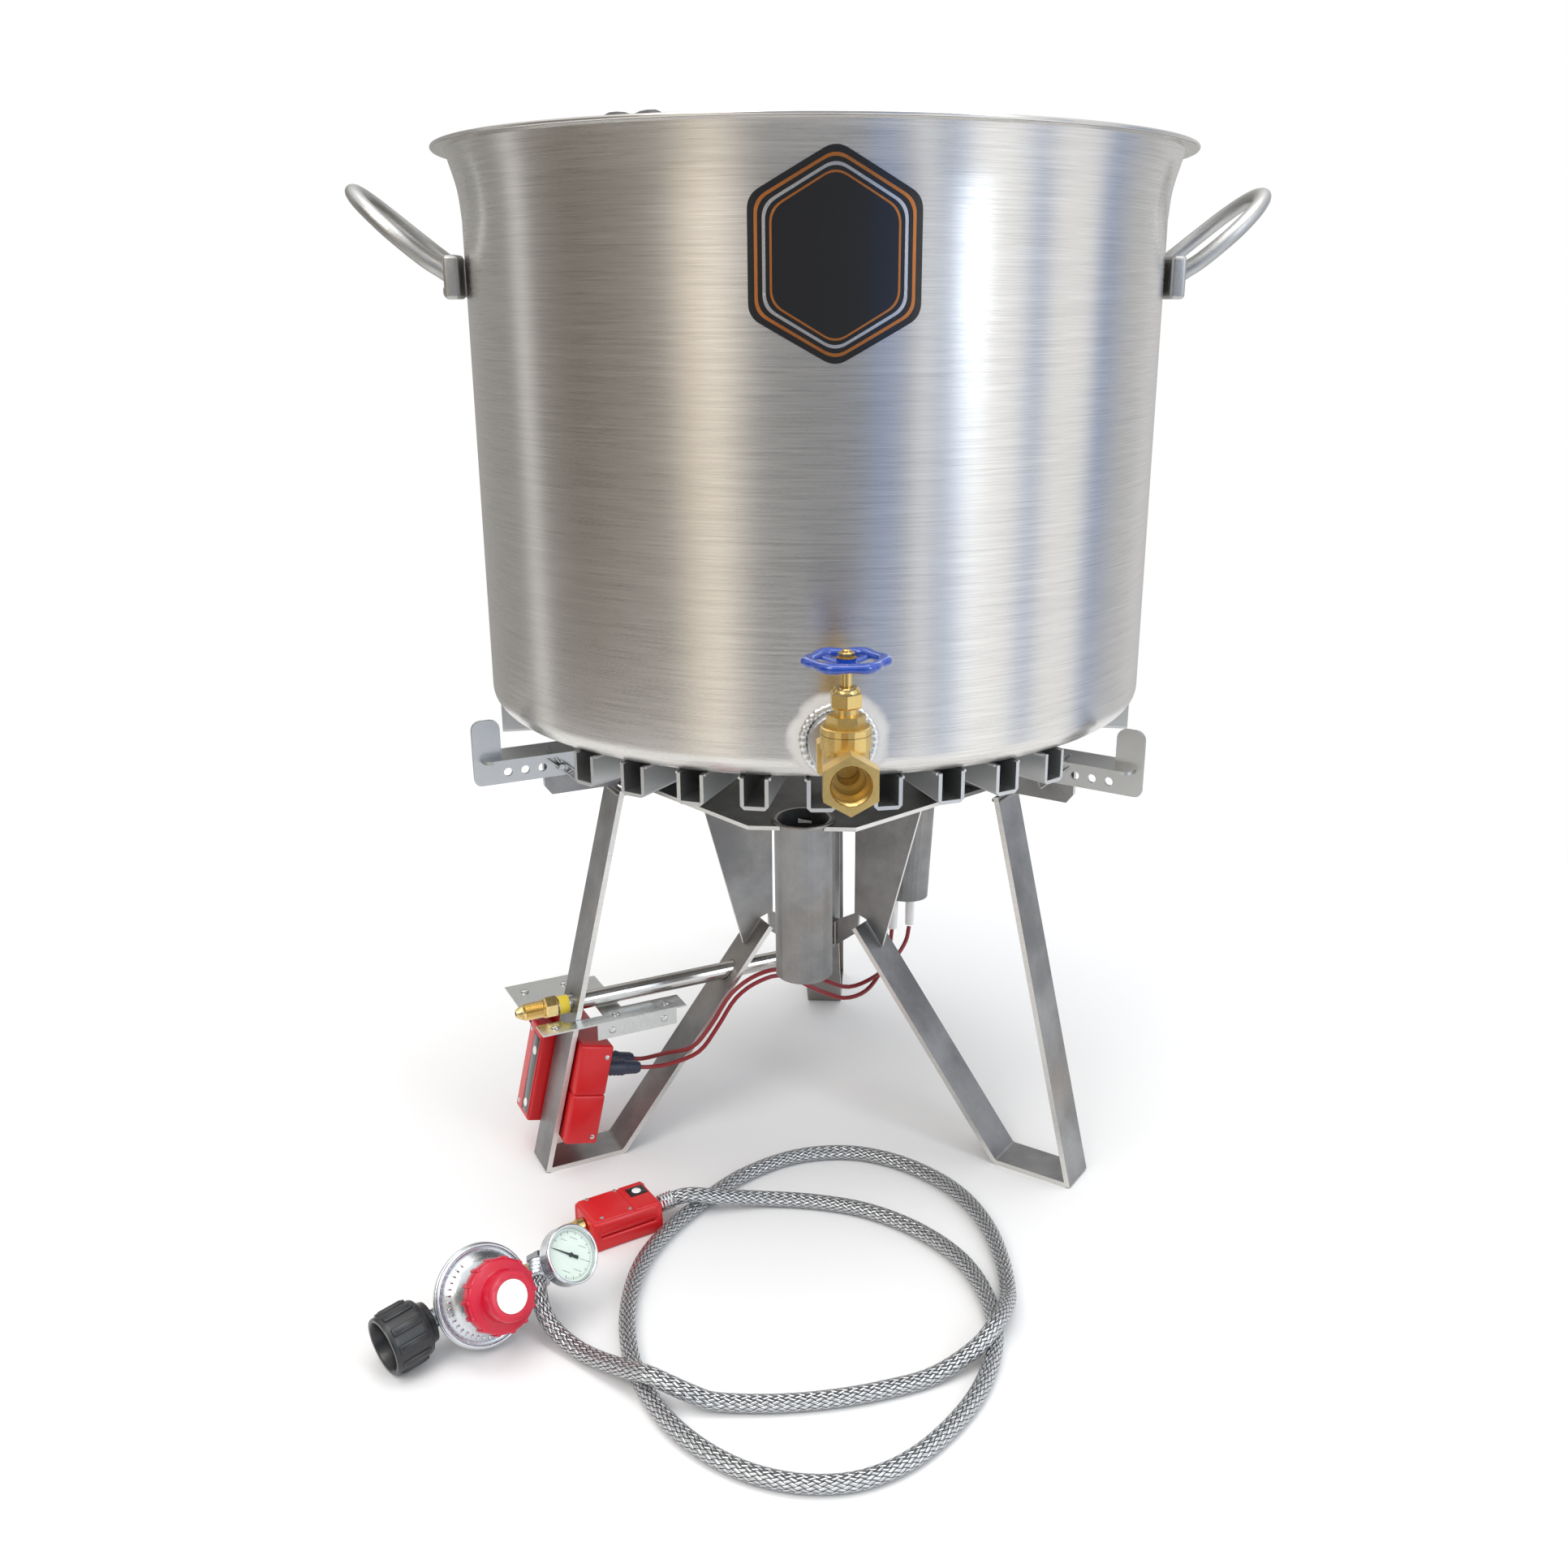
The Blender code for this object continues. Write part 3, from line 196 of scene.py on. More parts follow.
def place(points, origin, direction=(0, 0, 1), up=(0, 1, 0)):
    """Points in a local frame carried to origin, with local +Z along direction."""
    if tuple(direction) == (0, 0, 1):
        return points + np.array(origin)
    return points @ matrix_along(direction, up) + np.array(origin)


def about_z(points, angle):
    """Points turned about the vertical axis by angle, in radians."""
    c, s = cos(angle), sin(angle)
    return points @ np.array([[c, s, 0], [-s, c, 0], [0, 0, 1]])


def surface(points, around=True, along=False, caps=(True, True)):
    """A grid of points (rows, columns, 3) as (points, faces, uv).

    around joins the last column to the first, along the last row to the first, and caps close the end rows
    with one face each. uv runs 0 to 1 along the rows and 0 to 1 across the columns, unbroken at the seam.
    """
    rows, columns = points.shape[:2]
    i = np.arange(rows if along else rows - 1)[:, None]
    j = np.arange(columns if around else columns - 1)[None, :]
    i2, j2 = (i + 1) % rows, (j + 1) % columns
    quads = np.stack(np.broadcast_arrays(i * columns + j, i * columns + j2, i2 * columns + j2, i2 * columns + j), -1)
    u, v = i / max(rows - (not along), 1), j / max(columns - (not around), 1)
    du, dv = 1 / max(rows - (not along), 1), 1 / max(columns - (not around), 1)
    corners = [(u, v), (u, v + dv), (u + du, v + dv), (u + du, v)]
    uv = np.stack([np.stack(np.broadcast_arrays(a, b), -1) for a, b in corners], 2).reshape(-1, 2)
    faces = [tuple(face) for face in quads.reshape(-1, 4).tolist()]
    if around and not along:
        for closed, row in zip(caps, (0, rows - 1)):
            if closed:
                faces.append(tuple(range(row * columns, (row + 1) * columns)))
                uv = np.concatenate([uv, np.tile([[float(row > 0), 0.5]], (columns, 1))])
    return points.reshape(-1, 3), faces, uv


def points_of(x, y, z):
    """Points from three coordinates, each a number or a row of numbers."""
    return np.stack(np.broadcast_arrays(x, y, z), -1)


def circle(count, radius=1.0, turn=0.0):
    """Count points evenly round a circle."""
    angle = turn + 2 * pi * np.arange(count) / count
    return np.stack([radius * np.cos(angle), radius * np.sin(angle)], -1)


def lathe(profile, sides=48):
    """A body of revolution: (radius, height) rows carried round +Z."""
    profile = np.array(profile, float)
    angle = 2 * pi * np.arange(sides) / sides
    radius = profile[:, :1] * np.ones(sides)
    return np.stack([radius * np.cos(angle), radius * np.sin(angle),
        np.broadcast_to(profile[:, 1:], radius.shape)], -1)


def revolved(profile, sides=48, ring=False):
    """lathe as a closed skin; ring joins the profile's last point to its first."""
    return surface(lathe(profile, sides), along=ring)


def arc(centre, radius, start, end, steps):
    """Points of an arc, with its angles in degrees."""
    angle = np.radians(np.linspace(start, end, steps + 1))
    return np.stack([centre[0] + radius * np.cos(angle), centre[1] + radius * np.sin(angle)], -1).tolist()


def smooth(points, steps):
    """Catmull-Rom: each span is the cubic whose end slopes are half the chord of its neighbours."""
    p = np.array(points, float)
    p = np.concatenate([2 * p[:1] - p[1:2], p, 2 * p[-1:] - p[-2:-1]])
    t = (np.arange(steps) / steps)[None, :, None]
    a, b, c, d = (p[k : len(p) - 3 + k, None] for k in range(4))
    curve = 0.5 * (2 * b + (c - a) * t + (2 * a - 5 * b + 4 * c - d) * t**2 + (3 * b - a - 3 * c + d) * t**3)
    return np.concatenate([curve.reshape(-1, p.shape[1]), p[-2:-1]])


def frames_along(path, up):
    """Unit run, side and top of a path. The side stays square to up."""
    run = np.gradient(path, axis=0)
    run /= np.linalg.norm(run, axis=1, keepdims=True)
    side = np.cross(run, np.array(up, float))
    side /= np.maximum(np.linalg.norm(side, axis=1, keepdims=True), 1e-9)
    return run, side, np.cross(side, run)


def swept(path, section, up=(0, 0, 1), size=None, closed=False):
    """A section of (side, top) points carried along a path. size scales the section at each path point."""
    path, section = np.array(path, float), np.array(section, float)
    _, side, top = frames_along(path, up)
    if closed:
        run = np.roll(path, -1, axis=0) - np.roll(path, 1, axis=0)
        run /= np.linalg.norm(run, axis=1, keepdims=True)
        side = np.cross(run, np.array(up, float))
        side /= np.linalg.norm(side, axis=1, keepdims=True)
        top = np.cross(side, run)
    scale = np.ones(len(path)) if size is None else np.array(size)
    scale = scale[:, None, None]
    grid = path[:, None] + scale * (section[None, :, :1] * side[:, None] + section[None, :, 1:] * top[:, None])
    return surface(grid, along=closed)


def round_section(radius, sides=12, flat=1.0):
    """A circle or ellipse as a section."""
    return circle(sides, radius) * np.array([1.0, flat])


def soft_box(low, high, radius, steps=4):
    """A box with rounded edges: each point of a sphere of this radius is pushed out to its own octant's corner."""
    low, high = np.array(low, float), np.array(high, float)
    quarter = np.linspace(0, pi / 2, steps + 1)
    turn = np.concatenate([quarter + pi / 2 * q for q in range(4)])
    sign = np.repeat(np.array([[1, 1], [-1, 1], [-1, -1], [1, -1]]), steps + 1, axis=0)
    lift = np.concatenate([quarter - pi / 2, quarter])
    above = np.repeat([-1, 1], steps + 1)
    half, centre = (high - low) / 2 - radius, (high + low) / 2
    x = half[0] * sign[None, :, 0] + radius * np.cos(lift)[:, None] * np.cos(turn)
    y = half[1] * sign[None, :, 1] + radius * np.cos(lift)[:, None] * np.sin(turn)
    z = (half[2] * above + radius * np.sin(lift))[:, None] + 0 * x
    return surface(np.stack([x, y, z], -1) + centre)


def slab(outline, low, high, ease=0.0006):
    """A flat outline of (x, y) points between two heights, with its rims eased inwards."""
    outline = np.array(outline, float)
    centre = outline.mean(axis=0)
    inner = centre + (outline - centre) * (1 - ease / np.abs(outline - centre).max())
    rows = [(inner, low), (outline, low + ease), (outline, high - ease), (inner, high)]
    return surface(np.stack([np.column_stack([ring, np.full(len(ring), z)]) for ring, z in rows]))


def hexagon(across_corners, turn=0.0):
    """Six points of a hexagon, by its size across the corners."""
    return circle(6, across_corners / 2, turn)


def bead(path, radius, seed, up=(0, 0, 1), closed=False):
    """A weld bead: a tube whose radius swells and dips along its path."""
    count = len(path)
    s = np.arange(count)
    size = 1 + 0.12 * np.sin(2.1 * s + seed) + 0.08 * np.sin(0.83 * s + 2 * seed)
    return swept(path, round_section(radius, 8), up, size, closed)


def moved(part, change):
    """The same skin with its points changed."""
    return change(part[0]), part[1], part[2]


def piece(name, parts, look, body, slot, sharp=35, merge=True, replaces=()):
    """Skins as one object that rides on a body. merge closes seams and poles and turns the faces outwards."""
    points = np.concatenate([part[0] for part in parts])
    starts = np.cumsum([0] + [len(part[0]) for part in parts[:-1]])
    faces = [tuple(corner + int(start) for corner in face) for part, start in zip(parts, starts) for face in part[1]]
    mesh = bpy.data.meshes.new(name)
    mesh.from_pydata(points.tolist(), [], faces)
    layer = mesh.uv_layers.new(name="UVMap")
    layer.data.foreach_set("uv", np.concatenate([part[2] for part in parts]).astype(np.float32).ravel())
    if merge:
        work = bmesh.new()
        work.from_mesh(mesh)
        bmesh.ops.remove_doubles(work, verts=work.verts, dist=2e-6)
        bmesh.ops.recalc_face_normals(work, faces=work.faces)
        work.to_mesh(mesh)
        work.free()
    mesh.materials.append(look)
    mesh.shade_smooth()
    mesh.set_sharp_from_angle(angle=radians(sharp))
    obj = bpy.data.objects.new(name, mesh)
    bpy.context.collection.objects.link(obj)
    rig.ride(obj, body)
    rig.slot(obj, slot)
    if replaces:
        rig.replaces(obj, *replaces)
    return obj


# -------------------------------------------------------------------------------------------- shading


class Value:
    """A node's output. Python's operators on it add Math nodes."""

    def __init__(self, look, socket):
        self.look, self.socket = look, socket

    def _math(self, operation, *terms):
        return self.look.node("ShaderNodeMath", {"operation": operation}, dict(enumerate(terms)))

    def __add__(self, other):
        return self._math("ADD", self, other)

    def __sub__(self, other):
        return self._math("SUBTRACT", self, other)

    def __rsub__(self, other):
        return self._math("SUBTRACT", other, self)

    def __mul__(self, other):
        return self._math("MULTIPLY", self, other)

    def __truediv__(self, other):
        return self._math("DIVIDE", self, other)

    def __abs__(self):
        return self._math("ABSOLUTE", self)

    __radd__, __rmul__ = __add__, __mul__

    def sine(self):
        return self._math("SINE", self)

    def fraction(self):
        return self._math("FRACT", self)

    def larger(self, other):
        return self._math("MAXIMUM", self, other)

    def band(self, low, high, start=0.0, end=1.0):
        """start below low, end above high, and a smooth step between them."""
        values = {0: self, 1: low, 2: high, 3: start, 4: end}
        return self.look.node("ShaderNodeMapRange", {"interpolation_type": "SMOOTHSTEP"}, values)


class Look:
    """One procedural material, whose nodes are all made by its node method."""

    def __init__(self, name, colour, metallic=0.0, roughness=0.5, **fixed):
        self.material = bpy.data.materials.new(name)
        self.material.use_nodes = True
        self.tree = self.material.node_tree
        self.shader = self.tree.nodes["Principled BSDF"]
        self.colour = colour
        self.set("Base Color", colour)
        self.set("Metallic", metallic)
        self.set("Roughness", roughness)
        for key, value in fixed.items():
            self.set(key.replace("_", " ").title().replace("Ior", "IOR"), value)

    def set(self, name, value):
        socket = self.shader.inputs[name]
        if isinstance(value, Value):
            self.tree.links.new(value.socket, socket)
        elif name.endswith("Color") or name.endswith("Tint"):
            socket.default_value = (*value[:3], 1)
        else:
            socket.default_value = value

    def node(self, kind, settings=None, inputs=None, output=0):
        made = self.tree.nodes.new(kind)
        for key, value in (settings or {}).items():
            if key == "stops":
                for spot, (position, colour) in enumerate(value):
                    stop = made.color_ramp.elements
                    stop = stop[spot] if spot < 2 else stop.new(position)
                    stop.position, stop.color = position, (*colour, 1)
            else:
                setattr(made, key, value)
        for key, value in (inputs or {}).items():
            socket = made.inputs[key]
            if isinstance(value, Value):
                self.tree.links.new(value.socket, socket)
            elif isinstance(value, tuple) and len(value) == 3 and socket.type == "RGBA":
                socket.default_value = (*value, 1)
            else:
                socket.default_value = value
        return Value(self, made.outputs[output])

    def where(self):
        return self.node("ShaderNodeTexCoord", output="Object")

    def axis(self, name, point=None):
        return self.node("ShaderNodeSeparateXYZ", None, {0: point or self.where()}, name)

    def uv(self, name):
        return self.axis(name, self.node("ShaderNodeTexCoord", output="UV"))

    def facing(self, direction):
        """How far the surface's own normal runs along a direction, from 0 to 1."""
        normal = self.node("ShaderNodeNewGeometry", output="Normal")
        return abs(self.node("ShaderNodeVectorMath", {"operation": "DOT_PRODUCT"}, {0: normal, 1: direction},
            "Value"))

    def away_from(self, point):
        """The distance from a point, in metres."""
        inputs = {0: self.where(), 1: tuple(point)}
        return self.node("ShaderNodeVectorMath", {"operation": "DISTANCE"}, inputs, "Value")

    def noise(self, scale, detail=3.0, roughness=0.5):
        """Noise from 0 to 1 whose grain is 1 / scale metres along each axis."""
        scale = scale if isinstance(scale, tuple) else (scale,) * 3
        inputs = {"Vector": self.where(), "Scale": scale}
        spot = self.node("ShaderNodeMapping", None, inputs)
        inputs = {"Vector": spot, "Scale": 1.0, "Detail": detail, "Roughness": roughness}
        return self.node("ShaderNodeTexNoise", None, inputs)

    def mix(self, factor, first, second):
        settings = {"data_type": "RGBA", "clamp_factor": True}
        return self.node("ShaderNodeMix", settings, {0: factor, 6: first, 7: second}, 2)

    def shade(self, factor, darker, lighter):
        """The base colour scaled from darker to lighter as factor goes from 0 to 1."""
        low = tuple(channel * darker for channel in self.colour)
        high = tuple(min(channel * lighter, 1.0) for channel in self.colour)
        return self.mix(factor, low, high)

    def bump(self, height, distance, strength=1.0):
        inputs = {"Height": height, "Distance": distance, "Strength": strength}
        self.set("Normal", self.node("ShaderNodeBump", None, inputs))

    def done(self):
        return self.material


class Sky(Look):
    """The studio round the object: upright bright and dark bands for metal to mirror, plain where it is seen."""

    BANDS = (
        (-180, (0.45, 0.44, 0.42)), (-113, (0.38, 0.37, 0.36)), (-106, (1.0, 0.98, 0.95)), (-99, (0.33, 0.31, 0.29)),
        (-82, (0.24, 0.21, 0.18)), (-48, (0.34, 0.31, 0.28)), (-38, (0.85, 0.74, 0.6)), (-31, (1.05, 0.94, 0.8)),
        (-24, (0.6, 0.55, 0.5)), (-18, (0.27, 0.27, 0.28)), (14, (0.3, 0.31, 0.33)), (22, (0.28, 0.4, 0.7)),
        (30, (0.45, 0.47, 0.52)), (34, (1.25, 1.25, 1.25)), (39, (0.45, 0.5, 0.6)), (46, (0.35, 0.48, 0.78)),
        (50, (1.2, 1.2, 1.2)), (66, (1.25, 1.25, 1.25)), (74, (0.38, 0.5, 0.78)), (80, (1.15, 1.15, 1.15)),
        (96, (1.15, 1.15, 1.15)), (103, (0.36, 0.46, 0.7)), (118, (0.62, 0.63, 0.65)), (140, (0.75, 0.75, 0.76)),
        (180, (0.45, 0.44, 0.42)),
    )

    def __init__(self, world):
        self.tree = world.node_tree

    def paint(self):
        """Its colour goes by the azimuth of the ray, and blends to white overhead."""
        way = self.node("ShaderNodeTexCoord", output="Generated")
        x, y, z = (self.axis(name, way) for name in "XYZ")
        azimuth = self.node("ShaderNodeMath", {"operation": "ARCTAN2"}, {0: x, 1: y * -1})
        stops = [((angle + 180) / 360, colour) for angle, colour in self.BANDS]
        bands = self.node("ShaderNodeValToRGB", {"stops": stops}, {0: azimuth / (2 * pi) + 0.5})
        colour = self.mix(z.band(0.35, 0.75), bands, (1.15, 1.15, 1.15))
        seen = self.node("ShaderNodeLightPath", output="Is Camera Ray")
        self.tree.links.new(self.mix(seen, colour, (1.0, 1.0, 1.0)).socket, self.tree.nodes["Background"].inputs[0])


def spun_aluminium(name, colour, drain=None):
    """Sheet brushed around the pot: fine level lines, a few long scratches and, at the drain, a heat ring."""
    look = Look(name, colour, 1.0, 0.3, anisotropic=0.8)
    look.shader.inputs["Anisotropic Rotation"].default_value = 0.25
    lines = look.noise((22, 22, 2400), 2)
    coarse = look.noise((7, 7, 520), 3)
    cloud = look.noise(5, 4)
    scratch = look.noise((10, 10, 3600), 1).band(0.7, 0.76)
    dent = look.noise(26, 1).band(0.74, 0.8)
    grain = lines * 0.7 + coarse * 0.3
    base = look.shade(grain.band(0.3, 0.7), 0.84, 1.1)
    base = look.mix(scratch * 0.35, base, (0.86, 0.85, 0.83))
    rough = grain * 0.1 + cloud * 0.06 + 0.2 + dent * 0.05
    if drain is not None:
        gap = look.away_from(drain) + (look.noise(60, 2) - 0.5) * 0.012
        ring = gap.band(0.02, 0.027) * (1 - gap.band(0.032, 0.04))
        base = look.mix(ring * 0.85, base, (0.8, 0.79, 0.77))
        rough = rough + ring * 0.35
        look.set("Metallic", 1 - ring * 0.7)
    look.set("Base Color", base)
    look.set("Roughness", rough)
    look.bump(grain, 0.00005, 0.35)
    return look.done()


def plain_metal(name, colour, roughness, grain=(60, 60, 60), dents=0.0001, spread=0.12, dark=0.82, light=1.08):
    """Metal with cloudy polish, a fine grain along one way and small marks."""
    look = Look(name, colour, 1.0, roughness)
    cloud = look.noise(18, 4)
    fine = look.noise(tuple(g * 12 for g in grain), 3, 0.6)
    marks = look.noise(220, 2).band(0.66, 0.72)
    look.set("Base Color", look.shade(cloud * 0.6 + fine * 0.4, dark, light))
    look.set("Roughness", cloud * spread + fine * spread * 0.8 + (roughness - spread * 0.9) + marks * 0.08)
    look.bump(fine + marks * 0.4, dents, 0.5)
    return look.done()


def mill_steel(name, colour, across, edges_along):
    """Hot rolled steel: mottled scale on the faces, bare bright metal on the sawn and sheared edges.

    across is a direction. An edge is where the normal runs along it, or where it does not, as edges_along says.
    """
    look = Look(name, colour, 1.0, 0.5)
    facing = look.facing(across)
    edge = facing.band(0.75, 0.9) if edges_along else 1 - facing.band(0.2, 0.5)
    cloud = look.noise(14, 5, 0.6)
    speck = look.noise(420, 3, 0.65)
    stain = look.noise(6, 3).band(0.52, 0.7)
    face = look.shade(cloud.band(0.3, 0.72), 0.66, 1.22)
    face = look.mix(stain * 0.4, face, (0.4, 0.33, 0.26))
    face = look.mix(speck.band(0.6, 0.75) * 0.35, face, (0.16, 0.15, 0.14))
    sawn = look.noise((40, 40, 900), 2)
    look.set("Base Color", look.mix(edge, face, look.mix(sawn, (0.62, 0.6, 0.57), (0.82, 0.81, 0.78))))
    look.set("Roughness", cloud * 0.18 + speck * 0.14 + 0.3 - edge * 0.1)
    look.bump(speck * 0.7 + sawn * edge, 0.0002, 0.35)
    return look.done()


def cast_metal(name, colour, roughness, grain=700, depth=0.0003):
    """A sand or die casting: a fine pebbled skin with smoother worn patches."""
    look = Look(name, colour, 1.0, roughness)
    pebble = look.noise(grain, 3, 0.6)
    cloud = look.noise(35, 3)
    look.set("Base Color", look.shade(cloud * 0.5 + pebble * 0.5, 0.75, 1.14))
    look.set("Roughness", pebble * 0.18 + cloud * 0.14 + roughness - 0.16)
    look.bump(pebble, depth, 0.5)
    return look.done()


def moulded(name, colour, roughness, grain=900, coat=0.0, sheen=0.05):
    """Moulded plastic or rubber: an even colour with a fine leathery grain and faint flow marks."""
    look = Look(name, colour, 0.0, roughness, coat_roughness=0.12)
    fine = look.noise(grain, 2)
    cloud = look.noise(28, 3)
    look.set("Base Color", look.shade(cloud, 1 - sheen * 2, 1 + sheen * 2))
    look.set("Roughness", fine * 0.12 + cloud * 0.1 + roughness - 0.11)
    look.set("Coat Weight", coat)
    look.bump(fine, 0.00012, 0.4)
    return look.done()


def enamel(name, colour):
    """Thick glossy paint over a casting, pooled and a little wavy."""
    look = Look(name, colour, 0.0, 0.22, coat_roughness=0.05)
    wave = look.noise(160, 2)
    worn = look.noise(300, 3).band(0.66, 0.74)
    look.set("Base Color", look.mix(worn * 0.25, look.shade(wave, 0.8, 1.25), (0.3, 0.33, 0.4)))
    look.set("Roughness", wave * 0.12 + worn * 0.15 + 0.14)
    look.set("Coat Weight", 0.8)
    look.bump(wave, 0.0004, 0.4)
    return look.done()


def braided(name, colour, length, turns, pitch):
    """Woven wire: two families of strands that cross, over and under, on the hose's own uv, with painted shade in the
    grooves between strands and a painted highlight on their crowns.
    """
    look = Look(name, colour, 1.0, 0.32)
    run, across = look.uv("X") * (length / pitch), look.uv("Y") * turns
    left = abs(((run + across) * pi).sine())
    right = abs(((run - across) * pi).sine())
    over = (((run + across) * pi).sine() * ((run - across) * pi).sine()).band(-0.15, 0.15)
    strand = left * over + right * (1 - over)
    # Painted shade and highlight: the colour goes dark in the grooves between strands and light on the strand crowns.
    look.set("Base Color", look.shade(strand.band(0.15, 0.8), 0.16, 1.6))
    look.set("Roughness", 0.52 - strand * 0.26)
    look.bump(strand, 0.001, 1.0)
    return look.done()


def perforated(name, colour, columns, rows):
    """Sheet with staggered round holes, cut by alpha on the basket's own uv."""
    look = Look(name, colour, 1.0, 0.38)
    run, across = look.uv("X") * rows, look.uv("Y") * columns
    row = run - run.fraction()
    shift = (row * 0.5).fraction()
    x, y = (across + shift).fraction() - 0.5, run.fraction() - 0.5
    hole = (x * x + y * y).band(0.075, 0.095)
    edge = look.uv("X").band(0.965, 0.97)
    look.set("Alpha", hole.larger(edge))
    look.set("Base Color", look.shade(look.noise(30, 3), 0.82, 1.1))
    look.set("Roughness", look.noise((30, 30, 600), 3) * 0.2 + 0.26)
    return look.done()


# ------------------------------------------------------------------------------- sizes and plain colours

BRASS = (0.8, 0.6, 0.26)
OFF_WHITE = (0.86, 0.86, 0.84)
WINDOW_BLACK = (0.008, 0.008, 0.01)
SCREW_STEEL = (0.7, 0.69, 0.67)

TURN = radians(3.5)
LEGS = {"left": radians(207), "right": radians(327), "rear": radians(87)}
DRAIN_HEIGHT = 0.457
STEM_REACH = 0.352
WALL_RADIUS = 0.2905
BAIL_REACH, BAIL_HEIGHT = 0.279, 0.8785
LEG_TOP, FOOT_OUT = (0.198, 0.3572), 0.282
TUBE_HEIGHT = 0.157
CLIP_TILT = radians(42)
TRAY_HEIGHT = 0.1462


def millimetres(value, words, name):
    """A length property; its value is in metres."""
    return bpy.props.FloatProperty(name=name, description=words, default=value, min=0.0001, unit="LENGTH")


def tint(value, words, name):
    """A colour property."""
    return bpy.props.FloatVectorProperty(name=name, description=words, default=value, size=3, min=0, max=1,
        subtype="COLOR")


class PotSettings(bpy.types.PropertyGroup):
    """Sizes and colours of the pot."""

    wall: tint((0.66, 0.645, 0.62), "Colour of the brushed sheet", "Wall")
    casting: tint((0.5, 0.5, 0.49), "Colour of the cast handles", "Handles")
    badge_width: millimetres(0.118, "Width of the badge, around the wall", "Badge width")
    badge_height: millimetres(0.142, "Height of the badge", "Badge height")
    badge_border: tint((0.72, 0.26, 0.08), "Colour of the badge's border lines", "Badge border")


class ValveSettings(bpy.types.PropertyGroup):
    """Sizes and colours of the drain valve."""

    brass: tint((0.8, 0.58, 0.22), "Colour of the brass", "Brass")
    wheel: tint((0.004, 0.05, 0.36), "Colour of the hand wheel's enamel", "Hand wheel")
    wheel_radius: millimetres(0.0315, "Radius of the hand wheel over its lobes", "Wheel radius")


class BasketSettings(bpy.types.PropertyGroup):
    """Colour of the lift-out basket."""

    basket: tint((0.6, 0.6, 0.6), "Colour of the perforated sheet", "Basket")


class StandSettings(bpy.types.PropertyGroup):
    """Sizes and colours of the burner stand."""

    steel: tint((0.3, 0.3, 0.3), "Colour of the rolled steel", "Steel")
    zinc: tint((0.52, 0.53, 0.53), "Colour of the zinc plating", "Zinc")
    clip_wire: millimetres(0.0009, "Radius of the hairpin clips' wire", "Clip wire")


class GasSettings(bpy.types.PropertyGroup):
    """Sizes and colours of the gas kit and of the igniter."""

    hose_radius: millimetres(0.0066, "Radius of the braided hose", "Hose radius")
    braid: tint((0.42, 0.43, 0.44), "Colour of the braid's wire", "Braid")
    red: tint((0.6, 0.006, 0.01), "Colour of the red cases", "Red cases")
    knob: tint((0.56, 0.004, 0.03), "Colour of the regulator's knob", "Knob")


# ------------------------------------------------------------------------------------------- the pot


def on_pot(points):
    """From the pot's own frame, whose drain points along -Y, to the shared one."""
    return about_z(points, TURN) + np.array([0, 0, GROUND])


def pot_profile():
    """The wall's section from the outside bottom up to the rolled rim and down to the inside floor."""
    wall, radius, bottom = 0.0032, WALL_RADIUS, 0.425
    outer = [(0, bottom)] + arc((radius - 0.018, bottom + 0.018), 0.018, -90, 0, 10)
    heights = np.linspace(0.47, 0.826, 7)
    outer += [(radius, h) for h in heights]
    flare = flare_profile()
    outer += flare[1:].tolist() + [(0.311, 0.8778)] + arc((0.3105, 0.8794), 0.0015, -80, 80, 5)
    inner = smooth([(radius + 0.0085, 0.881), (radius + 0.0045, 0.8695), (radius - 0.001, 0.848),
        (radius - wall, 0.826)], 6)
    floor = arc((radius - wall - 0.014, 0.443), 0.014, 0, -90, 8)
    return outer + inner.tolist() + floor + [(0, 0.429)]


def build_pot(settings):
    """The wall turned from its profile, the two handles, the welds and the badge."""
    drain = about_z(np.array([[0, -WALL_RADIUS, DRAIN_HEIGHT + GROUND]]), TURN)[0]
    wall_look = spun_aluminium("brushed_wall", settings.wall, drain)
    wall = moved(revolved(pot_profile(), 288), on_pot)
    piece("pot_wall", [wall], wall_look, "kettle", "aluminium_sheet", 50, replaces=["kettle_shell"])
    cast = cast_metal("cast_handle", settings.casting, 0.42)
    for side, name in ((-1, "left"), (1, "right")):
        piece(f"handle_{name}_casting", handle(side), cast, "kettle", "aluminium_cast", 40,
            replaces=[f"handle_{name}"])
    welded = plain_metal("channel_aluminium", (0.62, 0.63, 0.63), 0.42, (6, 6, 60))
    for name in ("tunnels_front", "tunnels_left", "tunnels_right", "drain_bung"):
        dress(name, welded)
    weld = plain_metal("weld_aluminium", (0.74, 0.74, 0.73), 0.36, (80, 80, 80), 0.0003)
    piece("drain_weld", drain_weld(), weld, "kettle", "aluminium_welded")
    piece("channel_welds", channel_welds(), weld, "kettle", "aluminium_welded")
    build_badge(settings)


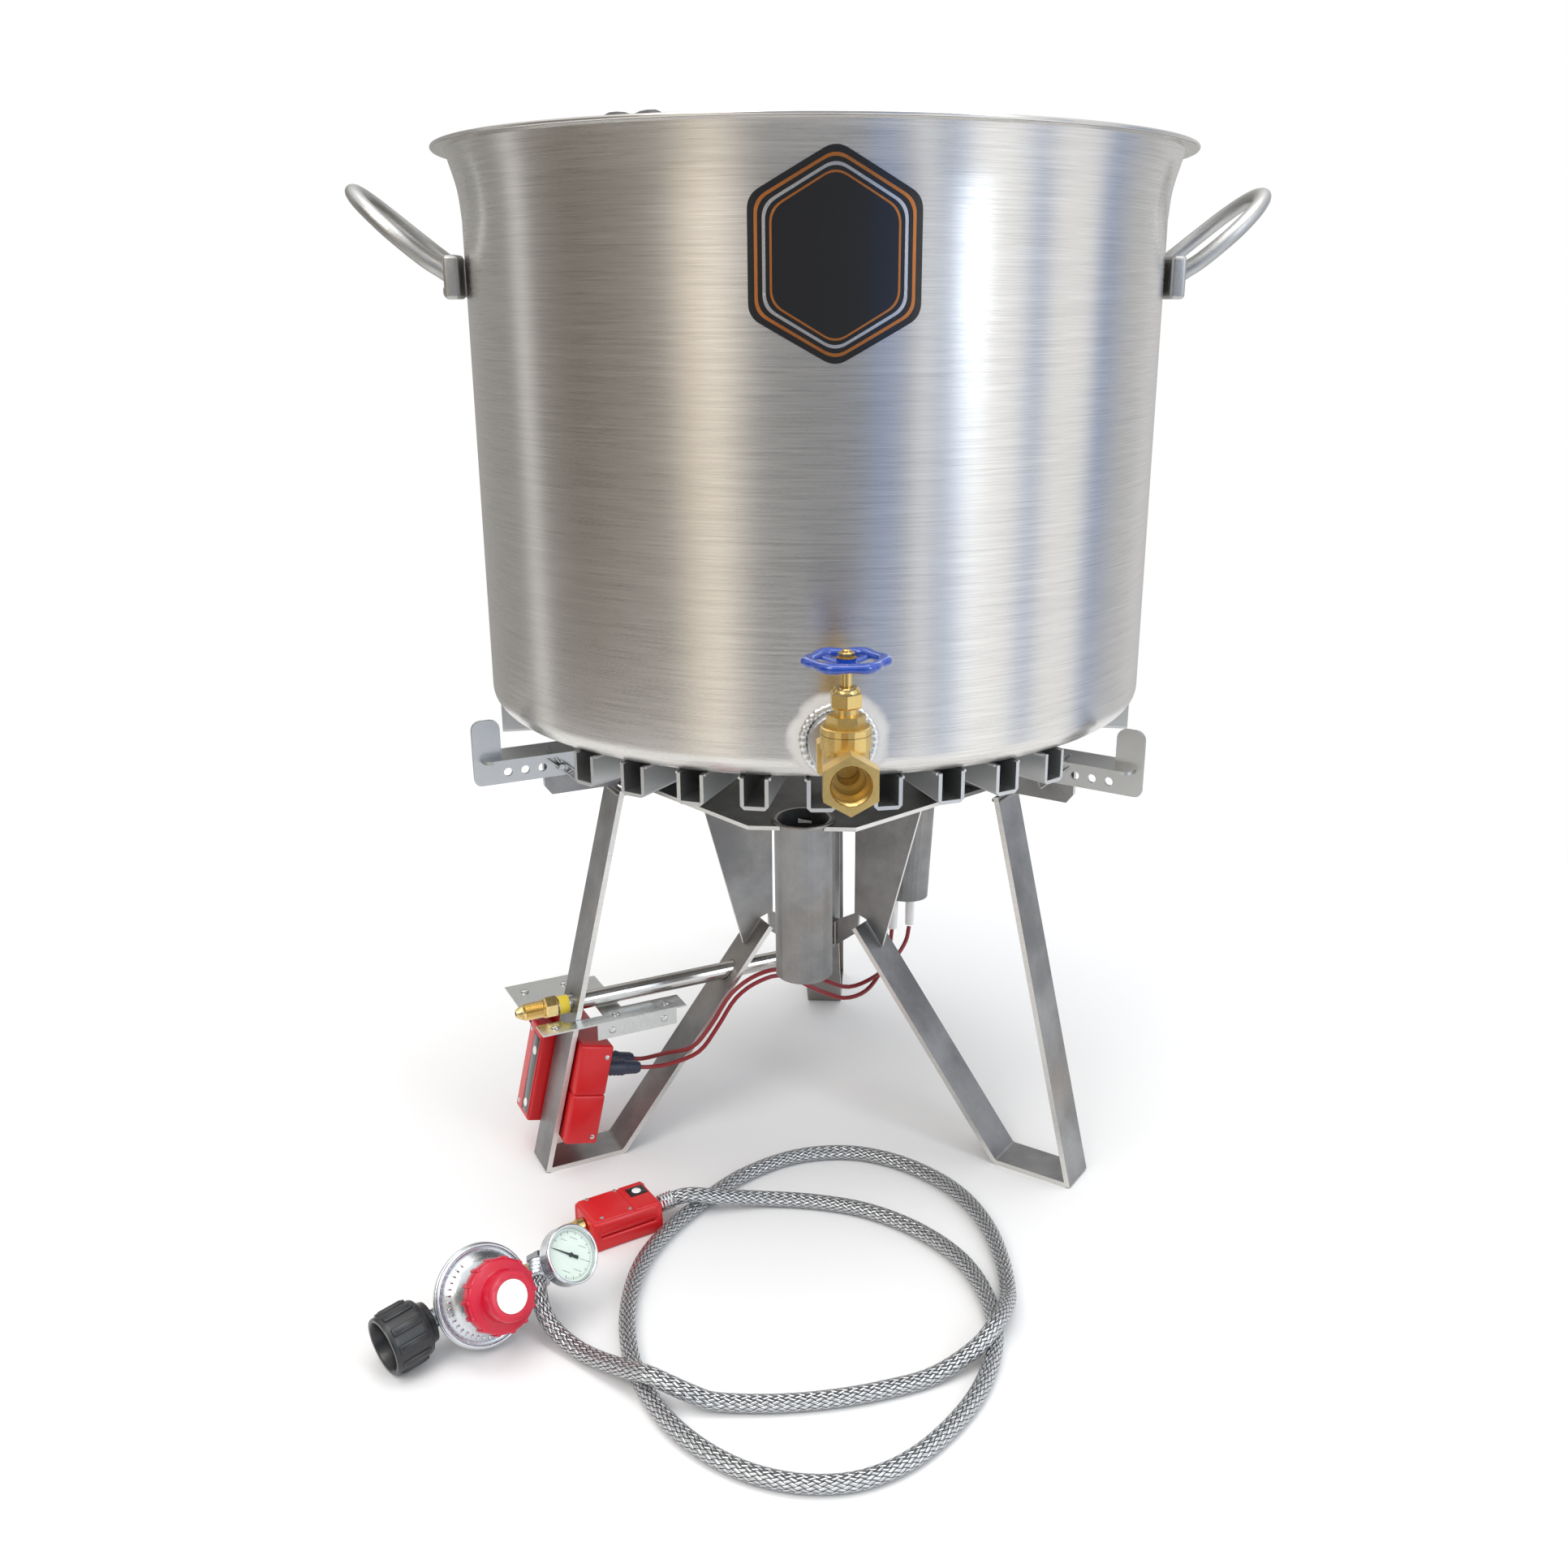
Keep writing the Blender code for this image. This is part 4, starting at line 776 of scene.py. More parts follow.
def handle(side):
    """A cast loop as an oval carried along a smooth path, with a pad and one rivet at each end."""
    half = 0.052
    rise = [(0.2945, half, 0.7815), (0.304, half, 0.788), (0.318, half + 0.001, 0.797), (0.343, half - 0.001, 0.817)]
    rise += [(0.363, 0.04, 0.8345), (0.375, 0.022, 0.8455)]
    path = np.array(rise + [(0.3785, 0, 0.849)] + [(x, -y, z) for x, y, z in rise[::-1]])
    curve = smooth(path, 8)
    swell = 1 + 0.06 * np.cos(np.linspace(0, 2 * pi, len(curve)))
    parts = [swept(curve, round_section(0.0082, 16, 0.8), (0.6, 0, -0.8), swell)]
    for end in (-1, 1):
        pad = soft_box((0.2885, end * half - 0.0165, 0.7655), (0.3015, end * half + 0.0165, 0.7995), 0.0035, 5)
        parts.append(pad)
        head = revolved([(0, 0.0034), (0.003, 0.0029), (0.0046, 0.0016), (0.0052, 0)], 20)
        parts.append(moved(head, lambda p, e=end: place(p, (0.3013, e * half, 0.7715), (1, 0, 0))))
    return [moved(part, lambda p: on_pot(p * np.array([side, 1, 1]))) for part in parts]


def drain_weld():
    """A ring of overlapping puddles where the bung meets the wall."""
    angle = np.linspace(0, 2 * pi, 160, endpoint=False)
    lump = 1 + 0.1 * np.cos(34 * angle) + 0.06 * np.sin(9 * angle)
    ring = points_of(0.0262 * np.cos(angle), 0.0262 * np.sin(angle), 0)
    dip = 0.2902 - 0.00119 * np.cos(angle) ** 2
    section = circle(12)
    spread = section[None, :, :1] * 0.0034 * lump[:, None, None] * ring[:, None] / 0.0262
    out = section[None, :, 1:] * np.array([0, 0, 0.0026]) * lump[:, None, None]
    grid = ring[:, None] + spread + out
    grid[..., 2] += dip[:, None]
    points = np.stack([grid[..., 0], -grid[..., 2], grid[..., 1] + DRAIN_HEIGHT], -1)
    return [moved(surface(points, along=True), on_pot)]


def channel_welds():
    """Two beads on each heat channel's outer end, where it meets the pot's bottom."""
    parts = []
    for middle in (270, 30, 150):
        for step in range(9):
            turn = radians(middle - 2.5 + 10.2 * (step - 4))
            for side in (-1, 1):
                reach = np.linspace(0.15, 0.2835, 34)
                path = points_of(reach, side * 0.0117, 0.4243)
                path = about_z(path, turn)
                parts.append(moved(bead(path, 0.0011, step + 3 * side + middle), on_pot))
    return parts


def badge_outline(width, height, shrink, steps=10):
    """A rounded six-sided plaque: corners at its top, bottom and four sides, each cut by a small arc."""
    corners = np.array([(0, 0.5), (-0.5, 0.27), (-0.5, -0.27), (0, -0.5), (0.5, -0.27), (0.5, 0.27)])
    corners = corners * np.array([width - 2 * shrink, height - 2 * shrink])
    before, after = np.roll(corners, 1, axis=0), np.roll(corners, -1, axis=0)
    back = (before - corners) / np.linalg.norm(before - corners, axis=1, keepdims=True)
    on = (after - corners) / np.linalg.norm(after - corners, axis=1, keepdims=True)
    t = np.linspace(0, 1, steps)[None, :, None]
    reach = 0.009
    start, end = corners + back * reach, corners + on * reach
    curve = ((1 - t) ** 2 * start[:, None] + 2 * t * (1 - t) * corners[:, None] + t**2 * end[:, None]).reshape(-1, 2)
    loop = np.concatenate([curve, curve[:1]])
    run = np.concatenate([[0], np.cumsum(np.linalg.norm(np.diff(loop, axis=0), axis=1))])
    spots = np.linspace(0, run[-1], 240, endpoint=False)
    return np.stack([np.interp(spots, run, loop[:, 0]), np.interp(spots, run, loop[:, 1])], -1)


def flare_profile():
    """(radius, height) points of the wall's outside where it widens to the rim."""
    return smooth([(WALL_RADIUS, 0.826), (0.2927, 0.848), (0.298, 0.868), (0.301, 0.8772)], 6)


def on_wall(flat, lift):
    """Flat (across, up) points wrapped on the wall and lifted off it, following its flare."""
    flare = np.array(flare_profile())
    angle = flat[..., 0] / WALL_RADIUS - pi / 2
    radius = np.interp(flat[..., 1], flare[:, 1], flare[:, 0]) + lift
    return np.stack([radius * np.cos(angle), radius * np.sin(angle), flat[..., 1]], -1)


def build_badge(settings):
    """A generic plaque: black and six-sided, with a silver line between two border lines, and no words."""
    width, height, middle = settings.badge_width, settings.badge_height, np.array([-0.004, 0.793])
    spokes = np.linspace(0, 1, 7)[:, None, None]

    def patch(outer, inner, lift):
        flat = outer[None] * spokes + inner[None] * (1 - spokes)
        return moved(surface(on_wall(flat + middle, lift), caps=(False, False)), on_pot)

    whole = badge_outline(width, height, 0)
    field = moved(surface(on_wall(whole[None] * np.linspace(0.001, 1, 28)[:, None, None] + middle, 0.0004),
        caps=(True, False)), on_pot)
    black = moulded("badge_black", (0.006, 0.006, 0.007), 0.16, 300, 0.6)
    piece("badge_plate", [field], black, "kettle", "black_plastic", merge=False)
    border = plain_metal("badge_border", settings.badge_border, 0.3)
    pale = plain_metal("badge_silver", (0.8, 0.8, 0.8), 0.25)
    line = [patch(badge_outline(width, height, 0.0045), badge_outline(width, height, 0.0068), 0.0006)]
    line.append(patch(badge_outline(width, height, 0.015), badge_outline(width, height, 0.0165), 0.0006))
    piece("badge_border_lines", line, border, "kettle", "brass", merge=False)
    silver = [patch(badge_outline(width, height, 0.01), badge_outline(width, height, 0.0122), 0.0006)]
    piece("badge_silver_line", silver, pale, "kettle", "chrome", merge=False)


def dress(node, look):
    """A carried-over CAD node takes this material on all its slots."""
    mesh = frame["nodes"][node].data
    mesh.materials.clear()
    mesh.materials.append(look)


# ------------------------------------------------------------------------------------------ the valve


def at_stem(points):
    """From the valve's own frame: its flow axis is level along -Y and its stem upright through the origin."""
    return on_pot(points + np.array([0, -STEM_REACH, DRAIN_HEIGHT]))


def threads(radius, start, end, pitch, depth, ends=()):
    """A turned profile whose radius rises and falls once for each pitch."""
    count = int(round((end - start) / pitch))
    rows = [(radius - depth * (k % 2), start + (end - start) * k / (2 * count)) for k in range(2 * count + 1)]
    return [(0, start)] + rows + [(0, end)] if not ends else list(ends[0]) + rows + list(ends[1])


def wheel(radius):
    """A rim whose radius swells into six lobes, coned spokes that rise to it, and a hub."""
    angle = np.linspace(0, 2 * pi, 120, endpoint=False)
    reach = radius - 0.0058 + 0.0013 * np.cos(6 * angle)
    path = points_of(reach * np.cos(angle), reach * np.sin(angle), 0.0749)
    fat = 1 + 0.1 * np.cos(6 * angle)
    parts = [swept(path, round_section(0.0042, 14, 0.84), (0, 0, 1), fat, True)]
    parts.append(revolved([(0.0034, 0.0686), (0.0072, 0.0686), (0.0078, 0.07), (0.007, 0.0768),
        (0.0034, 0.0772)], 40, ring=True))
    for k in range(4):
        turn = pi / 2 * (k + 0.5)
        run = np.linspace(0.0055, radius - 0.0075, 8)
        line = np.stack([run * cos(turn), run * sin(turn), 0.0722 + 0.0026 * (run / radius) ** 2], -1)
        parts.append(swept(line, round_section(0.0036, 10, 0.62), (0, 0, 1), np.linspace(1.0, 0.78, 8)))
    return parts


def build_valve(settings):
    """The drain valve: threads and nuts turned about their axes, and a lobed hand wheel on its stem."""
    cast = cast_metal("cast_brass", settings.brass, 0.34, 520, 0.00022)
    turned = plain_metal("turned_brass", settings.brass, 0.24, (90, 90, 10), 0.00008, 0.1, 0.8, 1.15)
    for node in ("valve_body", "valve_bonnet"):
        dress(node, cast)
    for node in ("gate_wedge", "gas_orifice"):
        dress(node, turned)
    nipple = threads(0.01315, 0.29, 0.322, 0.0018, 0.0007,
        ([(0.01, 0.286), (0.0131, 0.286)], [(0.0131, 0.323), (0.01, 0.323)]))
    skin = revolved(nipple, 56, ring=True)
    turn_out = lambda q: on_pot(np.stack([q[:, 0], -q[:, 2], q[:, 1] + DRAIN_HEIGHT], -1))
    piece("nipple_threads", [moved(skin, turn_out)], turned, "kettle", "brass", replaces=["valve_nipple"])
    nut = [moved(slab(hexagon(0.024, pi / 6), 0.0422, 0.0535, 0.0012), at_stem)]
    top = revolved([(0.0045, 0.053), (0.0098, 0.053), (0.0092, 0.0552), (0.0076, 0.0568), (0.0045, 0.0568)], 40,
        ring=True)
    piece("packing_nut_skin", nut + [moved(top, at_stem)], turned, "kettle", "brass", replaces=["packing_nut"])
    mouth = [(0.0141, 0.392)] + [(0.0141 - 0.0006 * (k % 2), 0.392 + 0.0007 * k) for k in range(11)] + [(0.0146,
        0.3999)]
    ring = [moved(surface(lathe(mouth, 56), caps=(False, False)), turn_out)]
    piece("mouth_threads", ring, turned, "kettle", "brass", merge=False)
    stem = [(0, 0.03), (0.004, 0.03), (0.004, 0.068), (0.003, 0.068), (0.003, 0.0822), (0.0024, 0.083),
        (0, 0.083)]
    nut_ring = slab(hexagon(0.0118), 0.0775, 0.0812, 0.0007)
    washer = revolved([(0, 0.077), (0.0068, 0.077), (0.0068, 0.0777), (0, 0.0777)], 32)
    lower = [(0, 0.0065), (0.0028, 0.0065), (0.0028, 0.0302), (0, 0.0302)]
    parts = [revolved(stem, 28), nut_ring, washer, revolved(lower, 20)]
    piece("stem_and_nut", [moved(q, at_stem) for q in parts], turned, "valve_wheel", "brass", replaces=["valve_stem"])
    paint = enamel("blue_enamel", settings.wheel)
    rim = [moved(q, at_stem) for q in wheel(settings.wheel_radius)]
    piece("hand_wheel_casting", rim, paint, "valve_wheel", "blue_paint", 45, replaces=["hand_wheel"])


# ----------------------------------------------------------------------------------------- the basket


def in_bail(points):
    """From the bail's own frame, whose hinge runs along X through the two ears."""
    return on_pot(about_z(points, radians(-30)) + np.array([0, 0, BAIL_HEIGHT]))


def build_basket(settings):
    """The perforated basket with its rim and ears, the strap, and the bail with its grip."""
    sheet = perforated("perforated_sheet", settings.basket, 300, 84)
    wall = [(0.26, 0.4522), (0.2662, 0.454), (0.2705, 0.4585), (0.2718, 0.464)]
    wall += [(0.2718, h) for h in np.linspace(0.47, 0.862, 24)]
    skin = surface(lathe(wall, 180), caps=(True, False))
    piece("basket_wall", [moved(skin, on_pot)], sheet, "basket", "basket_metal", merge=False, replaces=["basket"])
    plain = plain_metal("basket_metal", settings.basket, 0.34, (40, 40, 40))
    angle = np.linspace(0, 2 * pi, 200, endpoint=False)
    ring = points_of(0.2716 * np.cos(angle), 0.2716 * np.sin(angle), 0.8636)
    parts = [moved(swept(ring, round_section(0.0026, 10), closed=True), on_pot)]
    for side in (0, pi):
        spread = np.linspace(-radians(6.4), radians(6.4), 17)
        edge = np.concatenate([0.2744 * np.stack([np.cos(side + spread), np.sin(side + spread)], -1),
                               0.2724 * np.stack([np.cos(side - spread), np.sin(side - spread)], -1)])
        parts.append(moved(slab(edge, -0.0205, 0.009, 0.0002), in_bail))
        head = revolved([(0, 0.0019), (0.003, 0.0016), (0.0044, 0.0005), (0.0046, 0)], 20)
        for across, height in ((-0.02, -0.012), (0.02, -0.012)):
            spot = (0.2742 * cos(side) - across * sin(side), 0.2742 * sin(side) + across * cos(side), height)
            way = (-cos(side), -sin(side), 0)
            parts.append(moved(head, lambda q, a=spot,
                w=way: in_bail(place(q, np.array(a) + 0.005 * np.array(w), w))))
    piece("basket_rim_and_ears", parts, plain, "basket", "basket_metal")
    strap_angle = np.radians(np.linspace(303, 332, 40))
    edge = np.concatenate([0.279 * np.stack([np.cos(strap_angle), np.sin(strap_angle)], -1),
                           0.2772 * np.stack([np.cos(strap_angle[::-1]), np.sin(strap_angle[::-1])], -1)])
    strap = moved(slab(edge, 0.8672, 0.8752, 0.0002), lambda q: q + np.array([0, 0, GROUND]))
    black = moulded("grip_black", (0.012, 0.012, 0.013), 0.34, 500)
    piece("rim_strap", [strap], black, "basket", "black_plastic")
    straight = radians(9.5)
    turn = -np.linspace(0, pi / 2 - straight, 40)
    half = points_of(BAIL_REACH * np.cos(turn), BAIL_REACH * np.sin(turn), 0)
    path = np.concatenate([half, half[::-1] * np.array([-1, 1, 1])])
    wire = [swept(path, round_section(0.0029, 12))]
    for side in (-1, 1):
        wire.append(swept([(side * 0.269, 0, 0), (side * 0.281, 0, 0)], round_section(0.0027, 12)))
    piece("bail_wire", [moved(q, in_bail) for q in wire], plain, "bail", "basket_metal", replaces=["basket_bail"])
    chord = BAIL_REACH * cos(straight)
    grip = [(0.0032, -0.0225), (0.0058, -0.0225), (0.0072, -0.0212), (0.0084, -0.018), (0.0086, -0.0125),
        (0.008, -0.0065)]
    grip += [(0.0066, -0.002), (0.0066, 0.002)] + [(r, -h) for r, h in grip[::-1]]
    spot = (0, -chord, 0)
    sleeve = moved(revolved(grip, 32, ring=True), lambda q: in_bail(place(q, spot, (1, 0, 0), (0, 0, 1))))
    piece("bail_grip_sleeve", [sleeve], black, "bail", "black_plastic", replaces=["bail_grip"])


# ------------------------------------------------------------------------------------------ the stand


def on_leg(points, azimuth):
    """From a leg's own upright plane, X outwards and Y across the bar, to the shared frame."""
    return about_z(points, azimuth) + np.array([0, 0, GROUND])


def hairpin():
    """A wire clip: a straight leg through the pin, an eye, and a waved leg that springs back over the pin."""
    eye = np.array(arc((-0.015, 0.0), 0.0042, -50, 250, 16))
    outer = [(0.022, 0.006), (0.014, 0.0052), (0.004, 0.0022), (-0.003, 0.004), (-0.009, 0.0042)]
    inner = [(-0.006, -0.0016), (0.004, -0.0016), (0.017, -0.0016)]
    flat = np.concatenate([outer, [(-0.0123, 0.0032)], eye[2:-2], inner])
    curve = smooth(flat, 4)
    return np.column_stack([curve[:, 0], np.zeros(len(curve)), curve[:, 1]])


def build_stand(settings):
    """Materials for the stand's solids, weld beads along their joints and a clip in each pin."""
    level = (0, 0, 1)
    for side, azimuth in LEGS.items():
        across = (-sin(azimuth), cos(azimuth), 0)
        dress(f"leg_{side}", mill_steel(f"bar_steel_{side}", settings.steel, across, True))
        plate = mill_steel(f"plate_steel_{side}", settings.steel, across, False)
        dress(f"arm_{side}", plate)
        dress(f"gusset_{side}", plate)
    dress("burner_plate", mill_steel("burner_steel", settings.steel, level, False))
    pipe = mill_steel("pipe_steel", tuple(c * 0.92 for c in settings.steel), level, True)
    for node in ("sight_tube", "igniter_tube", "jet_tube"):
        dress(node, pipe)
    zinc = plain_metal("zinc_plate", settings.zinc, 0.34, (30, 30, 120), 0.0001, 0.14, 0.78, 1.12)
    for side in LEGS:
        dress(f"retainer_{side}", zinc)
        dress(f"retainer_pin_{side}", zinc)
    weld = plain_metal("weld_steel", (0.36, 0.34, 0.32), 0.4, (80, 80, 80), 0.0004)
    beads = []
    for number, (side, azimuth) in enumerate(LEGS.items()):
        turn = lambda q, a=azimuth: on_leg(q, a)
        for edge in (-1, 1):
            reach = np.linspace(0.116, 0.195, 60)
            path = points_of(reach, edge * 0.0036, 0.3592)
            beads.append(moved(bead(path, 0.0017, number + edge), turn))
            reach = np.linspace(0.05, 0.118, 50)
            path = points_of(reach, edge * 0.0026, 0.3538)
            beads.append(moved(bead(path, 0.0015, number - edge), turn))
            height = np.linspace(0.172, 0.196, 24)
            path = points_of(0.025, edge * 0.0026, height)
            beads.append(moved(bead(path, 0.0015, 3 * number + edge, up=(1, 0, 0)), turn))
        across = np.linspace(-0.018, 0.018, 30)
        for reach in (0.201, 0.1952):
            path = points_of(reach, across, 0.354)
            beads.append(moved(bead(path, 0.0018, 5 * number + reach), turn))
    angle = 2 * pi * np.arange(60) / 60
    ring = points_of(0.025 * np.cos(angle), 0.025 * np.sin(angle) - 0.1838, 0.3588)
    ring = about_z(ring, radians(-3)) + np.array([0, 0, GROUND])
    beads.append(bead(ring, 0.0017, 2, closed=True))
    piece("weld_beads", beads, weld, "stand", "mill_steel")
    c, t = cos(CLIP_TILT), sin(CLIP_TILT)
    for side, near in (("left", 1), ("right", -1), ("rear", -1)):
        wire = hairpin() @ np.array([[c, 0, t], [0, 1, 0], [-t, 0, c]])
        wire = swept(wire + np.array([0.249, near * 0.0102, 0.385]), round_section(settings.clip_wire, 8), (0, 1, 0))
        clip = moved(wire, lambda q, a=LEGS[side]: on_leg(q, a))
        piece(f"hairpin_{side}", [clip], zinc, f"retainer_{side}", "zinc_plate")
    build_feed()


def build_feed():
    """The gas feed: a drawn tube with a yellow band, and the threaded flare fitting on its end."""
    tube = plain_metal("drawn_tube", (0.62, 0.6, 0.57), 0.2, (120, 120, 8), 0.00006, 0.1, 0.75, 1.15)
    dress("gas_tube", tube)
    turn = lambda q: on_leg(q, LEGS["left"])
    out = lambda q: turn(np.stack([q[:, 2], q[:, 1], q[:, 0] + TUBE_HEIGHT], -1))
    tape = moulded("yellow_tape", (0.8, 0.62, 0.05), 0.5, 700)
    band = [(0.008, 0.252), (0.00835, 0.2522), (0.00835, 0.2612), (0.008, 0.2614)]
    piece("yellow_band", [moved(surface(lathe(band, 40), caps=(False, False)), out)], tape, "stand", "stainless_tube")
    brass = plain_metal("fitting_brass", BRASS, 0.24, (90, 90, 10), 0.00008, 0.1, 0.8, 1.15)
    hexa = moved(slab(hexagon(0.021), 0.2626, 0.2744, 0.0012), out)
    rows = threads(0.0079, 0.276, 0.2926, 0.00152, 0.0008,
        ([(0, 0.274), (0.0072, 0.274)], [(0.0062, 0.294), (0.0062, 0.2955), (0.0035, 0.3002), (0.0024, 0.3002),
        (0.0024, 0.28), (0, 0.28)]))
    piece("flare_threads", [hexa, moved(revolved(rows, 48), out)], brass, "stand", "brass",
        replaces=["flare_fitting"])
    lead = moulded("lead_silicone", (0.26, 0.015, 0.02), 0.38, 600)
    for node in ("spark_lead", "sense_lead"):
        dress(node, lead)
    glaze = moulded("white_ceramic", OFF_WHITE, 0.18, 300, 0.6)
    for node in ("electrode_left", "electrode_right"):
        dress(node, glaze)


# --------------------------------------------------------------------------------------- the igniter


def on_bar(points):
    """From the left leg's sloping bar: X out of its face, Y across it, Z up along it from the ground."""
    up = unit([LEG_TOP[0] - FOOT_OUT, 0, LEG_TOP[1]])
    rows = np.array([[up[2], 0, -up[0]], [0, 1, 0], up])
    return on_leg(points @ rows + np.array([FOOT_OUT, 0, 0]), LEGS["left"])


def screw(radius=0.0026, rise=0.0014):
    """A plain pan head."""
    head = [(0, rise), (radius * 0.55, rise * 0.96), (radius * 0.85, rise * 0.7), (radius, 0.0), (radius, -0.0008)]
    return revolved(head, 24)


def put(part, origin, direction, frame_of):
    """A small turned piece set at origin along direction, inside a group's own frame."""
    return moved(part, lambda q: frame_of(place(q, origin, direction,
        (0, 0, 1) if abs(direction[2]) < 0.9 else (0, 1, 0))))


def build_igniter(settings):
    """Two stacked boxes behind the left leg's bar, a panel with two buttons, boots and screws."""
    red = moulded("red_case", settings.red, 0.36, 800, 0.15)
    dark = moulded("black_window", WINDOW_BLACK, 0.25, 600, 0.3)
    white = moulded("white_button", OFF_WHITE, 0.32, 500)
    zinc = plain_metal("tray_zinc", (0.66, 0.67, 0.66), 0.3, (60, 60, 12), 0.0001, 0.14, 0.78, 1.12)
    steel = plain_metal("screw_steel", SCREW_STEEL, 0.22)
    half = 0.0028
    back = -half - 0.0315
    lower = soft_box((back, -0.0585, 0.0332), (-half, 0.03, 0.082), 0.003)
    upper = soft_box((back + 0.0004, -0.0582, 0.0816), (-half, 0.0298, 0.1308), 0.003)
    ribs = [soft_box((back - 0.0002, y, 0.04), (back + 0.002, y + 0.003, 0.118), 0.0007, 2) for y in (-0.044,
        -0.03)]
    piece("igniter_case", [moved(q, on_bar) for q in (lower, upper, *ribs)], red, "stand", "red_plastic",
        replaces=["controller_case"])
    face = 0.0168
    shell = soft_box((-half + 0.0006, -0.0585, 0.0312), (face, -0.0215, 0.1222), 0.0032)
    frame_rim = [soft_box((face - 0.0016, y, 0.036), (face + 0.0005, y + 0.0016, 0.114), 0.0004,
        2) for y in (-0.0225 - 0.0016, -0.0425)]
    piece("igniter_panel", [moved(q, on_bar) for q in (shell, *frame_rim)], red, "stand", "red_plastic",
        replaces=["controller_panel"])
    strip = soft_box((face - 0.0012, -0.0412, 0.037), (face + 0.0004, -0.0236, 0.113), 0.0004, 2)
    piece("panel_window", [moved(strip, on_bar)], dark, "stand", "black_plastic")
    for name, height in (("upper_button", 0.0985), ("lower_button", 0.046)):
        cap = [(0, 0.0013), (0.0032, 0.0012), (0.0041, 0.0006), (0.0044, -0.0008), (0.0044, -0.003), (0, -0.003)]
        cap = put(revolved(cap, 32), (face, -0.0325, height), (1, 0, 0), on_bar)
        piece(name + "_cap", [cap], white, name, "white_plastic", replaces=[name])
    heads = [put(screw(), (face - 0.0006, y, z), (1, 0, 0), on_bar) for y, z in ((-0.051, 0.039), (-0.051, 0.113))]
    heads += [put(screw(), (back + 0.006, 0.0296, z), (0, 1, 0), on_bar) for z in (0.041, 0.12)]
    rubber = moulded("boot_rubber", (0.028, 0.036, 0.065), 0.42, 500)
    for name, across in (("boot_near", 0.017), ("boot_far", -0.0015)):
        rows = [(0, 0.0)] + [(0.0078 - 0.0008 * (k % 2), 0.0006 + 0.0019 * k) for k in range(10)]
        rows += [(0.0064, 0.02), (0.006, 0.03), (0.0048, 0.033), (0, 0.033)]
        boot = put(revolved(rows, 28), (back - 0.0004, across, 0.104), (-1, 0, 0), on_bar)
        piece(name + "_rubber", [boot], rubber, "stand", "boot_rubber", 50, replaces=[name])
    dress("control_tray", zinc)
    dress("heat_shield", zinc)
    turn = lambda q: on_leg(q, LEGS["left"])
    low = TRAY_HEIGHT
    for reach, across in ((0.24, -0.048), (0.278, -0.048)):
        heads.append(put(screw(0.004, 0.002), (reach, across, low + 0.0072), (0, 0, 1), turn))
    for reach, across in ((0.166, 0.022), (0.214, 0.022), (0.272, 0.024)):
        heads.append(put(screw(0.0038, 0.0018), (reach, across, low + 0.0015), (0, 0, 1), turn))
    for reach in (0.172, 0.222):
        heads.append(put(screw(0.0034, 0.0016), (reach, 0.034, low - 0.0075), (0, 1, 0), turn))
    piece("igniter_screws", heads, steel, "stand", "zinc_plate")


# ---------------------------------------------------------------------------------------- the gas kit

REGULATOR = np.array([-0.255, -0.3755, 0.0388 + GROUND])
REGULATOR_AXIS = unit([0.608, -0.645, 0.463])
NUT_AXIS = unit([-0.731, -0.676, -0.093])
GAUGE = np.array([-0.1908, -0.3518, 0.058 + GROUND])
GAUGE_AXIS = unit([0.646, -0.501, 0.576])
TEE = GAUGE - GAUGE_AXIS * 0.045
VALVE_BOX, VALVE_BOX_TURN = (-0.169, -0.234), radians(32)
# The middle line of the hose, from the regulator to the valve box, with heights over the ground.
HOSE_ROUTE = [
    (-0.217, -0.349, 0.0312), (-0.215, -0.3597, 0.029), (-0.2087, -0.3735, 0.02), (-0.1961, -0.3858, 0.0112),
    (-0.173, -0.4045, 0.0082), (-0.14, -0.43, 0.0155), (-0.123, -0.442, 0.0207), (-0.105, -0.4505, 0.0186),
    (-0.088, -0.4545, 0.013), (-0.07, -0.4565, 0.0084), (-0.027, -0.456, 0.0068), (0.014, -0.451, 0.0068),
    (0.05, -0.442, 0.0068), (0.088, -0.427, 0.0068), (0.1215, -0.406, 0.015), (0.1392, -0.3838, 0.0208),
    (0.15, -0.356, 0.015), (0.155, -0.33, 0.008), (0.1555, -0.29, 0.0068), (0.15, -0.245, 0.0068),
    (0.136, -0.203, 0.0068), (0.112, -0.167, 0.0068), (0.074, -0.136, 0.0068), (0.03, -0.1215, 0.0068),
    (-0.019, -0.129, 0.0068), (-0.064, -0.159, 0.0068), (-0.097, -0.199, 0.0068), (-0.125, -0.243, 0.0068),
    (-0.142, -0.285, 0.0068), (-0.148, -0.329, 0.0068), (-0.1455, -0.3735, 0.0068), (-0.1355, -0.4155, 0.0068),
    (-0.118, -0.453, 0.0068), (-0.096, -0.484, 0.0068), (-0.0665, -0.5105, 0.0068), (-0.034, -0.5275, 0.0068),
    (0.0015, -0.534, 0.0068), (0.036, -0.5285, 0.0068), (0.07, -0.508, 0.0068), (0.103, -0.471, 0.0068),
    (0.1265, -0.429, 0.0068), (0.139, -0.381, 0.0068), (0.137, -0.332, 0.0068), (0.121, -0.285, 0.0068),
    (0.088, -0.244, 0.0068), (0.046, -0.2155, 0.0068), (0.001, -0.202, 0.0068), (-0.044, -0.1995, 0.0085),
    (-0.084, -0.209, 0.0165), (-0.108, -0.213, 0.0212), (-0.1235, -0.2145, 0.0185), (-0.1365, -0.2205, 0.016),
]


def along_axis(origin, axis):
    """A function that sets turned skins on an axis, with local X as near to up as it can be."""
    return lambda q: place(q, origin, tuple(axis), (0, 0, 1))


